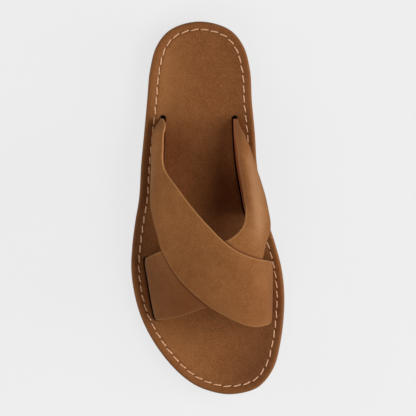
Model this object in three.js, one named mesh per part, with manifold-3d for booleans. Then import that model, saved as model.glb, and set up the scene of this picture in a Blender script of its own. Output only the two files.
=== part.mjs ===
// Slide sandal for the right foot: a moulded rubber outsole, a dished leather footbed with four slots, and an upper
// of two wide leather straps that are joined where they cross.
// Millimetres, +Z up, toe towards -Y, inner side of the foot towards +X. The origin is on the floor under the middle
// of the sole. A station is a share of LENGTH from the heel tip. Outer is the little-toe side, inner the big-toe side.

import * as THREE from "three";
import { mergeVertices } from "three/addons/utils/BufferGeometryUtils.js";
import Module from "manifold-3d";

const wasm = await Module();
wasm.setup();

// The shoe as a whole
const LENGTH = 285; // heel tip to toe tip
const BALL_WIDTH = 115.4; // widest section of the footbed
const INSTEP_HEIGHT = 53; // top of the lower strap above the footbed
const GAP = 0.3; // between pieces that lie on each other

// Heights of the sole
const HEEL_STACK = 20; // floor to footbed at the heel
const BALL_STACK = 12.5; // floor to footbed at the ball
const TOE_SPRING = 5; // rise of the toe tip off the floor
const WAIST_RELIEF = 1.6; // rise of the underside under the arch
const HEEL_ROLL = 1.6; // rise of the underside at the heel tip

// Footbed
const FOOTBED_THICKNESS = 5;
const RIM_RISE = 2.4; // crest of the rim above the dish
const RIM_WIDTH = 18; // edge of the footbed to the flat of the dish
const RIM_ROUND = 1; // how far the rim's bottom edge is drawn in

// Outsole
const SOLE_SETBACK = 0.7; // how far the rubber lies inside the footbed's edge
const SOLE_STEP = 1.5; // depth of the groove that steps the side
const TREAD_DEPTH = 2.4;
const TREAD_WIDTH = 3.2;
const TREAD_PITCH = 11.5;
const TREAD_RADIUS = 95; // curve of each tread groove in plan

// Straps
const STRAP_WALL = 2.6;
const STRAP_BOND = 0.8; // how deep the upper strap is pressed into the lower one where they are joined
const CLIMB_LENGTH = 10; // length over which the upper strap climbs onto the lower one
const TAIL_DEPTH = 3; // strap end below the footbed
const SLOT_CLEARANCE = 0.6; // round a strap end in its slot
const FORM_ROUNDNESS = 2.25; // 2 is an ellipse, more is squarer at the shoulders
const FLARE_SHARPNESS = 1.4; // how late a strap starts to lean outward above its slot

// Fineness of the faceted surfaces
const RING_POINTS = 96;
const CAP_DIVISIONS = 3;
const STRAP_RUNGS = 36;
const STRAP_COLUMNS = 8;
const WALL_STEPS = 8;
const ARCH_STEPS = 40;
const SLOT_STEPS = 8;
const TREAD_STEPS = 8;

// Edge of the footbed in plan, in shares of BALL_WIDTH from the middle line
const OUTLINE = [
  { station: 0.021, outer: -0.245, inner: 0.139 },
  { station: 0.064, outer: -0.338, inner: 0.232 },
  { station: 0.129, outer: -0.384, inner: 0.278 },
  { station: 0.214, outer: -0.404, inner: 0.291 },
  { station: 0.3, outer: -0.424, inner: 0.311 },
  { station: 0.386, outer: -0.444, inner: 0.325 },
  { station: 0.472, outer: -0.457, inner: 0.358 },
  { station: 0.536, outer: -0.483, inner: 0.399 },
  { station: 0.601, outer: -0.503, inner: 0.45 },
  { station: 0.665, outer: -0.51, inner: 0.49 },
  { station: 0.729, outer: -0.49, inner: 0.507 },
  { station: 0.794, outer: -0.444, inner: 0.503 },
  { station: 0.858, outer: -0.364, inner: 0.483 },
  { station: 0.922, outer: -0.245, inner: 0.444 },
  { station: 0.965, outer: -0.126, inner: 0.377 },
  { station: 0.987, outer: -0.02, inner: 0.305 },
];
const HEEL_TIP = -0.056;
const TOE_TIP = 0.139;

// Levels of the sole: heel in shares of HEEL_STACK - BALL_STACK, waist of WAIST_RELIEF, toe of TOE_SPRING and roll of
// HEEL_ROLL
const LEVELS = [
  { station: 0, heel: 1, waist: 0, toe: 0, roll: 1 },
  { station: 0.04, heel: 0.99, waist: 0, toe: 0, roll: 0.2 },
  { station: 0.08, heel: 0.97, waist: 0, toe: 0, roll: 0 },
  { station: 0.26, heel: 0.74, waist: 0, toe: 0, roll: 0 },
  { station: 0.35, heel: 0.6, waist: 0.65, toe: 0, roll: 0 },
  { station: 0.44, heel: 0.43, waist: 1, toe: 0, roll: 0 },
  { station: 0.53, heel: 0.26, waist: 0.6, toe: 0, roll: 0 },
  { station: 0.61, heel: 0.12, waist: 0, toe: 0, roll: 0 },
  { station: 0.7, heel: 0, waist: 0, toe: 0, roll: 0 },
  { station: 0.79, heel: 0, waist: 0, toe: 0, roll: 0 },
  { station: 0.87, heel: 0, waist: 0, toe: 0.22, roll: 0 },
  { station: 0.94, heel: 0, waist: 0, toe: 0.6, roll: 0 },
  { station: 1, heel: 0, waist: 0, toe: 1, roll: 0 },
];

// Section through the footbed's side, bottom first: draw in shares of RIM_ROUND, drop of FOOTBED_THICKNESS
const FOOTBED_SIDE = [
  { draw: 1, drop: 1 },
  { draw: 0.25, drop: 0.78 },
  { draw: 0, drop: 0.4 },
  { draw: 0.4, drop: 0 },
];

// Section through the footbed's rim, edge first: inset in shares of RIM_WIDTH, rise of RIM_RISE
const FOOTBED_RIM = [
  { inset: 0.075, rise: 0.62 },
  { inset: 0.15, rise: 0.92 },
  { inset: 0.24, rise: 1 },
  { inset: 0.36, rise: 0.9 },
  { inset: 0.53, rise: 0.48 },
  { inset: 0.75, rise: 0.12 },
  { inset: 1, rise: 0 },
];

// Section through the outsole's side, bottom first: inset in shares of SOLE_STEP, height of the rubber's thickness
const OUTSOLE_SIDE = [
  { inset: 0.8, height: 0 },
  { inset: 0.15, height: 0.09 },
  { inset: 0, height: 0.42 },
  { inset: 0.95, height: 0.47 },
  { inset: 1, height: 0.56 },
  { inset: 0.1, height: 0.62 },
  { inset: 0, height: 0.94 },
  { inset: 0.4, height: 1 },
];

// Zones of the underside that carry tread grooves
const TREAD_ZONES = [
  { from: 0.075, to: 0.28 },
  { from: 0.585, to: 0.93 },
];

// The foot form that the straps lie on, in plan: shares of BALL_WIDTH from the middle line
const FORM_PLAN = [
  { station: 0.24, outerSlot: -0.306, outerWall: -0.306, crest: -0.053, innerWall: 0.19, innerSlot: 0.188 },
  { station: 0.26, outerSlot: -0.314, outerWall: -0.316, crest: -0.053, innerWall: 0.205, innerSlot: 0.19 },
  { station: 0.28, outerSlot: -0.316, outerWall: -0.349, crest: -0.05, innerWall: 0.23, innerSlot: 0.191 },
  { station: 0.3, outerSlot: -0.319, outerWall: -0.369, crest: -0.046, innerWall: 0.258, innerSlot: 0.193 },
  { station: 0.345, outerSlot: -0.325, outerWall: -0.375, crest: -0.033, innerWall: 0.301, innerSlot: 0.2 },
  { station: 0.4, outerSlot: -0.33, outerWall: -0.378, crest: -0.02, innerWall: 0.331, innerSlot: 0.215 },
  { station: 0.45, outerSlot: -0.337, outerWall: -0.382, crest: 0, innerWall: 0.364, innerSlot: 0.237 },
  { station: 0.505, outerSlot: -0.348, outerWall: -0.384, crest: 0.02, innerWall: 0.393, innerSlot: 0.264 },
  { station: 0.55, outerSlot: -0.369, outerWall: -0.397, crest: 0.033, innerWall: 0.416, innerSlot: 0.314 },
  { station: 0.59, outerSlot: -0.391, outerWall: -0.411, crest: 0.04, innerWall: 0.424, innerSlot: 0.371 },
  { station: 0.64, outerSlot: -0.411, outerWall: -0.417, crest: 0.046, innerWall: 0.426, innerSlot: 0.414 },
  { station: 0.69, outerSlot: -0.394, outerWall: -0.399, crest: 0.053, innerWall: 0.428, innerSlot: 0.421 },
  { station: 0.745, outerSlot: -0.371, outerWall: -0.377, crest: 0.06, innerWall: 0.427, innerSlot: 0.421 },
  { station: 0.8, outerSlot: -0.344, outerWall: -0.351, crest: 0.066, innerWall: 0.424, innerSlot: 0.414 },
  { station: 0.84, outerSlot: -0.325, outerWall: -0.331, crest: 0.073, innerWall: 0.411, innerSlot: 0.404 },
];

// Heights of the same form above the footbed, in shares of INSTEP_HEIGHT: its widest level and its top
const FORM_HEIGHT = [
  { station: 0.24, wall: 0.17, top: 0.34 },
  { station: 0.26, wall: 0.22, top: 0.4 },
  { station: 0.3, wall: 0.3, top: 0.57 },
  { station: 0.345, wall: 0.35, top: 0.68 },
  { station: 0.4, wall: 0.38, top: 0.79 },
  { station: 0.45, wall: 0.4, top: 0.89 },
  { station: 0.505, wall: 0.4, top: 0.96 },
  { station: 0.55, wall: 0.36, top: 1 },
  { station: 0.59, wall: 0.31, top: 0.99 },
  { station: 0.64, wall: 0.26, top: 0.94 },
  { station: 0.69, wall: 0.22, top: 0.85 },
  { station: 0.745, wall: 0.19, top: 0.74 },
  { station: 0.8, wall: 0.16, top: 0.6 },
  { station: 0.84, wall: 0.14, top: 0.49 },
];

// Edges of the two straps on the form, row by row from the outer slot to the inner one. Around is a share of the
// girth from the outer slot (0) to the inner slot (1). The upper strap lies on the lower one.
const UPPER_STRAP = [
  { rearAround: 0, rearStation: 0.257, frontAround: 0, frontStation: 0.477 },
  { rearAround: 0.09, rearStation: 0.259, frontAround: 0.08, frontStation: 0.485 },
  { rearAround: 0.185, rearStation: 0.263, frontAround: 0.145, frontStation: 0.496 },
  { rearAround: 0.24, rearStation: 0.28, frontAround: 0.17, frontStation: 0.508 },
  { rearAround: 0.269, rearStation: 0.315, frontAround: 0.192, frontStation: 0.524 },
  { rearAround: 0.275, rearStation: 0.385, frontAround: 0.213, frontStation: 0.545 },
  { rearAround: 0.335, rearStation: 0.44, frontAround: 0.238, frontStation: 0.57 },
  { rearAround: 0.42, rearStation: 0.506, frontAround: 0.264, frontStation: 0.599 },
  { rearAround: 0.512, rearStation: 0.564, frontAround: 0.3, frontStation: 0.637 },
  { rearAround: 0.613, rearStation: 0.61, frontAround: 0.352, frontStation: 0.692 },
  { rearAround: 0.713, rearStation: 0.632, frontAround: 0.46, frontStation: 0.751 },
  { rearAround: 0.79, rearStation: 0.638, frontAround: 0.6, frontStation: 0.796 },
  { rearAround: 0.85, rearStation: 0.641, frontAround: 0.74, frontStation: 0.817 },
  { rearAround: 0.92, rearStation: 0.643, frontAround: 0.86, frontStation: 0.812 },
  { rearAround: 1, rearStation: 0.643, frontAround: 1, frontStation: 0.8 },
];
const LOWER_STRAP = [
  { rearAround: 0, rearStation: 0.633, frontAround: 0, frontStation: 0.8 },
  { rearAround: 0.08, rearStation: 0.633, frontAround: 0.1, frontStation: 0.8 },
  { rearAround: 0.17, rearStation: 0.629, frontAround: 0.2, frontStation: 0.797 },
  { rearAround: 0.26, rearStation: 0.616, frontAround: 0.3, frontStation: 0.789 },
  { rearAround: 0.36, rearStation: 0.61, frontAround: 0.42, frontStation: 0.771 },
  { rearAround: 0.45, rearStation: 0.604, frontAround: 0.54, frontStation: 0.75 },
  { rearAround: 0.53, rearStation: 0.592, frontAround: 0.65, frontStation: 0.718 },
  { rearAround: 0.59, rearStation: 0.58, frontAround: 0.725, frontStation: 0.68 },
  { rearAround: 0.637, rearStation: 0.549, frontAround: 0.762, frontStation: 0.645 },
  { rearAround: 0.655, rearStation: 0.5, frontAround: 0.775, frontStation: 0.617 },
  { rearAround: 0.662, rearStation: 0.45, frontAround: 0.788, frontStation: 0.592 },
  { rearAround: 0.685, rearStation: 0.38, frontAround: 0.81, frontStation: 0.572 },
  { rearAround: 0.709, rearStation: 0.325, frontAround: 0.84, frontStation: 0.556 },
  { rearAround: 0.748, rearStation: 0.283, frontAround: 0.878, frontStation: 0.542 },
  { rearAround: 0.795, rearStation: 0.264, frontAround: 0.91, frontStation: 0.533 },
  { rearAround: 0.89, rearStation: 0.259, frontAround: 0.95, frontStation: 0.524 },
  { rearAround: 1, rearStation: 0.257, frontAround: 1, frontStation: 0.515 },
];

const COLOURS = { outsole: 0x3a2a20, footbed: 0x7e4f2d, upper: 0xa5764b };
const ROUGHNESS = { outsole: 0.85, footbed: 0.8, upper: 0.7 };

/** The value of one table column at any station: a curve through the rows that never overshoots them. */
function column(rows, name) {
  const x = rows.map((row) => row.station);
  const y = rows.map((row) => row[name]);
  const last = x.length - 1;
  const rate = (i) => (y[i + 1] - y[i]) / (x[i + 1] - x[i]);
  const slope = y.map((_, i) => {
    if (i === 0) return rate(0);
    if (i === last) return rate(last - 1);
    const before = rate(i - 1);
    const after = rate(i);
    return before * after <= 0 ? 0 : (2 * before * after) / (before + after);
  });
  return (station) => {
    const at = THREE.MathUtils.clamp(station, x[0], x[last]);
    let i = 0;
    while (i < last - 1 && at > x[i + 1]) i += 1;
    const span = x[i + 1] - x[i];
    const u = (at - x[i]) / span;
    const v = 1 - u;
    const start = v * v * ((1 + 2 * u) * y[i] + u * span * slope[i]);
    const end = u * u * ((1 + 2 * v) * y[i + 1] - v * span * slope[i + 1]);
    return start + end;
  };
}

/** Every column of a table except the station, each as a function of the station. */
function columns(rows) {
  const names = Object.keys(rows[0]).filter((name) => name !== "station");
  return Object.fromEntries(names.map((name) => [name, column(rows, name)]));
}

const level = columns(LEVELS);
const plan = columns(FORM_PLAN);
const height = columns(FORM_HEIGHT);

const yAt = (station) => (0.5 - station) * LENGTH;
const stationAt = (y) => 0.5 - y / LENGTH;

/** Height of the footbed's dish above the floor. */
function dish(station) {
  return BALL_STACK + (HEEL_STACK - BALL_STACK) * level.heel(station) + TOE_SPRING * level.toe(station);
}

/** Height of the underside above the floor. */
function underside(station) {
  const waist = WAIST_RELIEF * level.waist(station);
  return waist + TOE_SPRING * level.toe(station) + HEEL_ROLL * level.roll(station);
}

/** Height of the outsole's top face, a gap below the footbed. */
function rubberTop(station) {
  return dish(station) - FOOTBED_THICKNESS - GAP;
}

/** Triangles of a four-sided patch, parted along its shorter diagonal. */
function patch(points, a, b, c, d) {
  const shorter = points[a].distanceTo(points[c]) <= points[b].distanceTo(points[d]);
  return shorter ? [a, b, c, a, c, d] : [a, b, d, b, c, d];
}

/**
 * A closed body through rings of points. Each end is closed by strips across its ring, from point k to its opposite
 * number, and capHeight sets the height of the points inside a cap from their place and which cap it is.
 */
function loft(rings, divisions = 1, capHeight = null) {
  const count = rings[0].length;
  const points = rings.flat();
  const triangles = [];
  for (let r = 0; r < rings.length - 1; r += 1)
    for (let k = 0; k < count; k += 1) {
      const from = r * count;
      const next = (k + 1) % count;
      triangles.push(...patch(points, from + k, from + next, from + count + next, from + count + k));
    }
  const cap = (first, isLast) => {
    const strip = (k) => {
      const left = first + k;
      const right = first + count - k;
      const row = [left];
      for (let j = 1; j < divisions; j += 1) {
        const point = points[left].clone().lerp(points[right], j / divisions);
        if (capHeight) point.setZ(capHeight(point, isLast));
        row.push(points.push(point) - 1);
      }
      return [...row, right];
    };
    const face = (a, b, c) => triangles.push(...(isLast ? [a, b, c] : [a, c, b]));
    const strips = Array.from({ length: count / 2 - 1 }, (_, i) => strip(i + 1));
    for (let j = 0; j < divisions; j += 1) {
      face(first, strips[0][j], strips[0][j + 1]);
      face(strips.at(-1)[j], first + count / 2, strips.at(-1)[j + 1]);
      for (let i = 0; i < strips.length - 1; i += 1) {
        face(strips[i][j], strips[i + 1][j], strips[i + 1][j + 1]);
        face(strips[i][j], strips[i + 1][j + 1], strips[i][j + 1]);
      }
    }
  };
  cap(0, false);
  cap((rings.length - 1) * count, true);
  return new THREE.BufferGeometry().setFromPoints(points).setIndex(triangles);
}

/** A geometry as a solid that can be joined or cut. */
function solidOf(geometry) {
  const merged = mergeVertices(geometry.clone().deleteAttribute("normal").deleteAttribute("uv"));
  const vertProperties = merged.attributes.position.array;
  const triVerts = new Uint32Array(merged.index.array);
  return new wasm.Manifold(new wasm.Mesh({ numProp: 3, vertProperties, triVerts }));
}

/** A joined or cut solid as a named mesh in its own material. */
function meshOf(name, solid) {
  const made = solid.getMesh();
  const geometry = new THREE.BufferGeometry();
  geometry.setAttribute("position", new THREE.BufferAttribute(made.vertProperties, 3));
  geometry.setIndex(new THREE.BufferAttribute(made.triVerts, 1));
  const finish = { color: COLOURS[name], roughness: ROUGHNESS[name], metalness: 0 };
  const mesh = new THREE.Mesh(geometry, new THREE.MeshStandardMaterial(finish));
  mesh.name = name;
  return mesh;
}

/** Points evenly round the footbed's edge, from the heel tip over the outer side, with their outward directions. */
function outline() {
  const place = (share, station) => new THREE.Vector3(share * BALL_WIDTH, yAt(station), 0);
  const outer = OUTLINE.map((row) => place(row.outer, row.station));
  const inner = OUTLINE.map((row) => place(row.inner, row.station)).reverse();
  const points = [place(HEEL_TIP, 0), ...outer, place(TOE_TIP, 1), ...inner];
  const curve = new THREE.CatmullRomCurve3(points, true);
  return Array.from({ length: RING_POINTS }, (_, k) => {
    const tangent = curve.getTangentAt(k / RING_POINTS);
    return { point: curve.getPointAt(k / RING_POINTS), outward: new THREE.Vector3(tangent.y, -tangent.x, 0) };
  });
}

const edge = outline();

/** The footbed's edge drawn in by an inset, at a height that follows the station. */
function ring(inset, heightAt) {
  return edge.map(({ point, outward }) => {
    const moved = point.clone().addScaledVector(outward, -inset);
    return moved.setZ(heightAt(stationAt(moved.y)));
  });
}

/** The footbed without its slots: rounded side, raised rim and dish. */
function footbedBlank() {
  const side = FOOTBED_SIDE.map(({ draw, drop }) =>
    ring(draw * RIM_ROUND, (station) => dish(station) - drop * FOOTBED_THICKNESS),
  );
  const rim = FOOTBED_RIM.map(({ inset, rise }) =>
    ring(inset * RIM_WIDTH, (station) => dish(station) + rise * RIM_RISE),
  );
  return loft([...side, ...rim], CAP_DIVISIONS, (point, isTop) => {
    const floor = dish(stationAt(point.y));
    return isTop ? floor : floor - FOOTBED_THICKNESS;
  });
}

/** The outsole without pockets and tread: stepped side, heel, waist and toe spring. */
function outsoleBlank() {
  const between = (share) => (station) => THREE.MathUtils.lerp(underside(station), rubberTop(station), share);
  const rings = OUTSOLE_SIDE.map((row) => ring(SOLE_SETBACK + row.inset * SOLE_STEP, between(row.height)));
  return loft(rings, CAP_DIVISIONS, (point, isTop) => between(isTop ? 1 : 0)(stationAt(point.y)));
}

/** The curved bar that cuts one tread groove across the underside. */
function treadCutter(station) {
  const reach = Math.asin(Math.min(1, (0.6 * BALL_WIDTH) / TREAD_RADIUS));
  const toe = -Math.PI / 2;
  const bar = new THREE.Shape();
  bar.absarc(0, 0, TREAD_RADIUS + TREAD_WIDTH / 2, toe - reach, toe + reach, false);
  bar.absarc(0, 0, TREAD_RADIUS - TREAD_WIDTH / 2, toe + reach, toe - reach, true);
  const size = { depth: 2 * TREAD_DEPTH, bevelEnabled: false, curveSegments: TREAD_STEPS };
  const cutter = new THREE.ExtrudeGeometry(bar, size);
  return cutter.translate(0, yAt(station) + TREAD_RADIUS, underside(station) - TREAD_DEPTH);
}

/** Section of the foot form at a station: points from the outer slot over the top to the inner slot. */
function formSection(station) {
  const wallHeight = height.wall(station) * INSTEP_HEIGHT;
  const topHeight = height.top(station) * INSTEP_HEIGHT;
  const crest = plan.crest(station);
  const walls = [plan.outerWall(station), plan.innerWall(station)];
  const slots = [plan.outerSlot(station), plan.innerSlot(station)];
  const points = [];
  const add = (share, rise) => points.push(new THREE.Vector2(share * BALL_WIDTH, rise));
  const flare = (side, share) => {
    const lean = Math.sin((Math.PI / 2) * share) ** FLARE_SHARPNESS;
    add(THREE.MathUtils.lerp(slots[side], walls[side], lean), wallHeight * share);
  };
  for (let i = 0; i < WALL_STEPS; i += 1) flare(0, i / WALL_STEPS);
  for (let i = 0; i <= ARCH_STEPS; i += 1) {
    const angle = (Math.PI * (1 - Math.cos((Math.PI * i) / ARCH_STEPS))) / 2;
    const outward = Math.abs(Math.cos(angle)) ** (2 / FORM_ROUNDNESS);
    const upward = Math.abs(Math.sin(angle)) ** (2 / FORM_ROUNDNESS);
    const wall = walls[i < ARCH_STEPS / 2 ? 0 : 1];
    add(THREE.MathUtils.lerp(crest, wall, outward), THREE.MathUtils.lerp(wallHeight, topHeight, upward));
  }
  for (let i = WALL_STEPS - 1; i >= 0; i -= 1) flare(1, i / WALL_STEPS);
  return points;
}

/** The point of the foot form at a share of the girth and a station. */
function formPoint(around, station) {
  const points = formSection(station);
  const lengths = [0];
  for (let i = 1; i < points.length; i += 1) lengths.push(lengths[i - 1] + points[i].distanceTo(points[i - 1]));
  const wanted = THREE.MathUtils.clamp(around, 0, 1) * lengths.at(-1);
  let i = 0;
  while (i < points.length - 2 && lengths[i + 1] < wanted) i += 1;
  const found = points[i].clone().lerp(points[i + 1], (wanted - lengths[i]) / (lengths[i + 1] - lengths[i]));
  return new THREE.Vector3(found.x, yAt(station), dish(station) + found.y);
}

/** The direction straight off the foot form at a share of the girth and a station. */
function formNormal(around, station) {
  const step = 0.004;
  const along = formPoint(around, station + step).sub(formPoint(around, station - step));
  const over = formPoint(around + step, station).sub(formPoint(around - step, station));
  return along.cross(over).normalize();
}

/** The two edges of a strap as curves whose x is around and whose y is the station. */
function strapEdges(rows) {
  const rear = rows.map((row) => new THREE.Vector3(row.rearAround, row.rearStation, 0));
  const front = rows.map((row) => new THREE.Vector3(row.frontAround, row.frontStation, 0));
  return { rear: new THREE.CatmullRomCurve3(rear), front: new THREE.CatmullRomCurve3(front) };
}

/** How far a place of the form lies inside a strap, in millimetres laid flat; negative outside it. */
function depthInside(rows) {
  const girth = 3 * INSTEP_HEIGHT;
  const flat = (place) => new THREE.Vector2(place.x * girth, place.y * LENGTH);
  const { rear, front } = strapEdges(rows);
  const corners = [...rear.getPoints(STRAP_RUNGS), ...front.getPoints(STRAP_RUNGS).reverse()].map(flat);
  const sides = corners.map((a, i) => ({ a, run: corners[(i + 1) % corners.length].clone().sub(a) }));
  return (around, station) => {
    const place = flat({ x: around, y: station });
    let nearest = Infinity;
    let inside = false;
    for (const { a, run } of sides) {
      const offset = place.clone().sub(a);
      const share = THREE.MathUtils.clamp(offset.dot(run) / run.lengthSq(), 0, 1);
      nearest = Math.min(nearest, offset.distanceTo(run.clone().multiplyScalar(share)));
      const spans = a.y > place.y !== a.y + run.y > place.y;
      if (spans && offset.x < (run.x * offset.y) / run.y) inside = !inside;
    }
    return inside ? nearest : -nearest;
  };
}

/** A strap as one solid with round edges and both ends down its slots; lift is how far it stands off the form. */
function strap(rows, lift) {
  const edges = strapEdges(rows);
  const round = STRAP_WALL / 2;
  const core = ({ x, y }) => formPoint(x, y).addScaledVector(formNormal(x, y), lift(x, y) - round);
  const hem = (curve, share, sign) => {
    const step = 0.01;
    const at = curve.getPoint(share);
    const run = core(curve.getPoint(Math.min(1, share + step))).sub(core(curve.getPoint(Math.max(0, share - step))));
    const normal = formNormal(at.x, at.y);
    const outward = normal.clone().cross(run).normalize().multiplyScalar(sign);
    const centre = core(at).addScaledVector(outward, -round);
    const turned = (degrees) => {
      const angle = THREE.MathUtils.degToRad(degrees);
      const out = centre.clone().addScaledVector(outward, round * Math.cos(angle));
      return out.addScaledVector(normal, round * Math.sin(angle));
    };
    return { at, turned };
  };
  const section = (share) => {
    const rear = hem(edges.rear, share, 1);
    const front = hem(edges.front, share, -1);
    const face = (side) =>
      Array.from({ length: STRAP_COLUMNS - 1 }, (_, j) => {
        const at = rear.at.clone().lerp(front.at, (j + 1) / STRAP_COLUMNS);
        return core(at).addScaledVector(formNormal(at.x, at.y), side * round);
      });
    const over = [rear.turned(0), rear.turned(45), rear.turned(90), ...face(1)];
    const turn = [90, 45, 0, -45, -90].map(front.turned);
    return [...over, ...turn, ...face(-1).reverse(), rear.turned(-90), rear.turned(-45)];
  };
  const sections = Array.from({ length: STRAP_RUNGS + 1 }, (_, i) => section(i / STRAP_RUNGS));
  const tail = (end) => end.map((point) => point.clone().setZ(point.z - FOOTBED_THICKNESS - TAIL_DEPTH));
  return loft([tail(sections[0]), ...sections, tail(sections.at(-1))]);
}

/** The cutter for one strap end's slot and pocket, with round ends: side 0 is the outer slot, 1 the inner one. */
function slotCutter(side, rear, front) {
  const halfWidth = STRAP_WALL / 2 + SLOT_CLEARANCE;
  const bend = (station, degrees) => {
    const angle = THREE.MathUtils.degToRad(degrees);
    return { station, beyond: halfWidth * Math.sin(angle), half: halfWidth * Math.cos(angle) };
  };
  const run = Array.from({ length: SLOT_STEPS + 1 }, (_, i) =>
    bend(THREE.MathUtils.lerp(rear, front, i / SLOT_STEPS), 0),
  );
  const places = [...[75, 50, 25].map((d) => bend(rear, d)), ...run, ...[-25, -50, -75].map((d) => bend(front, d))];
  const rings = places.map(({ station, beyond, half }) => {
    const normal = formNormal(side, station);
    const toHeel = new THREE.Vector3(-normal.y, normal.x, 0).multiplyScalar(side === 0 ? -1 : 1);
    const centre = formPoint(side, station).addScaledVector(normal, -STRAP_WALL / 2);
    centre.addScaledVector(toHeel, beyond);
    const roof = dish(station) + 2 * RIM_RISE;
    const floor = rubberTop(station) - TAIL_DEPTH;
    const corner = (across, z) => centre.clone().addScaledVector(normal, across * half).setZ(z);
    const corners = [corner(1, roof), corner(-1, roof), corner(-1, floor), corner(1, floor)];
    return side === 0 ? corners.reverse() : corners;
  });
  return loft(rings);
}

/** The slots of all four strap ends. */
function slotCutters() {
  return [UPPER_STRAP, LOWER_STRAP].flatMap((rows) =>
    [rows[0], rows.at(-1)].map((row) => slotCutter(row.rearAround, row.rearStation, row.frontStation)),
  );
}

/** Both straps, the upper one climbing over the lower one, joined into one solid. */
function crossedStraps() {
  const inLower = depthInside(LOWER_STRAP);
  const climb = (around, station) =>
    (STRAP_WALL - STRAP_BOND) * THREE.MathUtils.smoothstep(inLower(around, station), -CLIMB_LENGTH, 0);
  return solidOf(strap(UPPER_STRAP, climb)).add(solidOf(strap(LOWER_STRAP, () => 0)));
}

/** The stations of every tread groove. */
function treadStations() {
  const pitch = TREAD_PITCH / LENGTH;
  return TREAD_ZONES.flatMap(({ from, to }) =>
    Array.from({ length: Math.floor((to - from) / pitch) + 1 }, (_, i) => from + i * pitch),
  );
}

const slots = slotCutters().map(solidOf);
const treads = treadStations().map((station) => solidOf(treadCutter(station)));
const cut = (blank, cutters) => cutters.reduce((solid, cutter) => solid.subtract(cutter), solidOf(blank));

const sandal = new THREE.Group();
sandal.name = "slide_sandal";
sandal.add(meshOf("outsole", cut(outsoleBlank(), [...slots, ...treads])));
sandal.add(meshOf("footbed", cut(footbedBlank(), slots)));
sandal.add(meshOf("upper", crossedStraps()));

export default sandal;
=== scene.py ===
"""Looks of a slide sandal for the right foot: footbed, stitching, two crossed straps and a rubber sole.

Metres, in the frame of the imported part: +Z up, toe towards -Y, inner side of the foot towards +X, floor at
Z = 0. A station is a share of the sandal's length from the heel tip. Around is a share of the girth of the
foot form from the outer slot to the inner one.
"""

import logging
import math
from dataclasses import dataclass, field
from enum import Enum
from typing import Callable, NamedTuple, Sequence

import bpy
import numpy as np
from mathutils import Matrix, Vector


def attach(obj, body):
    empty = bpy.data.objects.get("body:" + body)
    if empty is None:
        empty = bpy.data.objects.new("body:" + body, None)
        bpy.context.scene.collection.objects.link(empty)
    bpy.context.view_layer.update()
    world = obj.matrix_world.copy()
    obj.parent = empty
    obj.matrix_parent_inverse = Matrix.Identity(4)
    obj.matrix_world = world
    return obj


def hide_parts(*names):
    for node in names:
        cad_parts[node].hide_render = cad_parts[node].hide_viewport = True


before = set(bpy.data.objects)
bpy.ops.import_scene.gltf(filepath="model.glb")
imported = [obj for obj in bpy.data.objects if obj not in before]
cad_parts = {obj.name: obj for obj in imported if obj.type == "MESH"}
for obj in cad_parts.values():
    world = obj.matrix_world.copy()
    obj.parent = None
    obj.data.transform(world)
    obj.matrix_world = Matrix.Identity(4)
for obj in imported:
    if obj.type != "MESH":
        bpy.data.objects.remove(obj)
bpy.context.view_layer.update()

LOG = logging.getLogger("slide_sandal")
MM = 0.001
STRAP_WALL = 2.6 * MM
TAIL_DEPTH = 3.0 * MM
Array = np.ndarray
Heights = Callable[[Array], Array]
Colour = tuple[float, float, float, float]
Socket = bpy.types.NodeSocket
TINY = 1e-12


class OutlineRow(NamedTuple):
    """Edge of the footbed in plan at a station, in shares of the ball width from the middle line."""

    station: float
    outer: float
    inner: float


class LevelRow(NamedTuple):
    """Levels of the sole at a station: shares of the heel's rise, waist relief, toe spring and heel roll."""

    station: float
    heel: float
    waist: float
    toe: float
    roll: float


class PlanRow(NamedTuple):
    """The foot form in plan at a station, in shares of the ball width from the middle line."""

    station: float
    outer_slot: float
    outer_wall: float
    crest: float
    inner_wall: float
    inner_slot: float


class HeightRow(NamedTuple):
    """Heights of the foot form above the footbed at a station, in shares of the instep height."""

    station: float
    wall: float
    top: float


class RimRow(NamedTuple):
    """Section through the footbed's rim: inset in shares of the rim's width, rise in shares of its height."""

    inset: float
    rise: float


class SideRow(NamedTuple):
    """Section through the outsole's side: inset in shares of the step, height in shares of the rubber."""

    inset: float
    height: float


class StrapRow(NamedTuple):
    """Both edges of a strap on the foot form, at one place along the strap."""

    rear_around: float
    rear_station: float
    front_around: float
    front_station: float


class StitchRow(NamedTuple):
    """Distance of the stitching from the footbed's edge at a station, in metres."""

    station: float
    outer: float
    inner: float


class BandRow(NamedTuple):
    """Section through the footbed's side: inset as a share of its rounding, depth of its thickness."""

    inset: float
    depth: float


class WearRow(NamedTuple):
    """A soft hollow in the footbed: its middle across and along, and its reach and depth in metres."""

    across: float
    station: float
    half_width: float
    half_length: float
    depth: float


class ZoneRow(NamedTuple):
    """A zone of the underside that carries tread grooves, from one station to another."""

    start: float
    end: float


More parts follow.
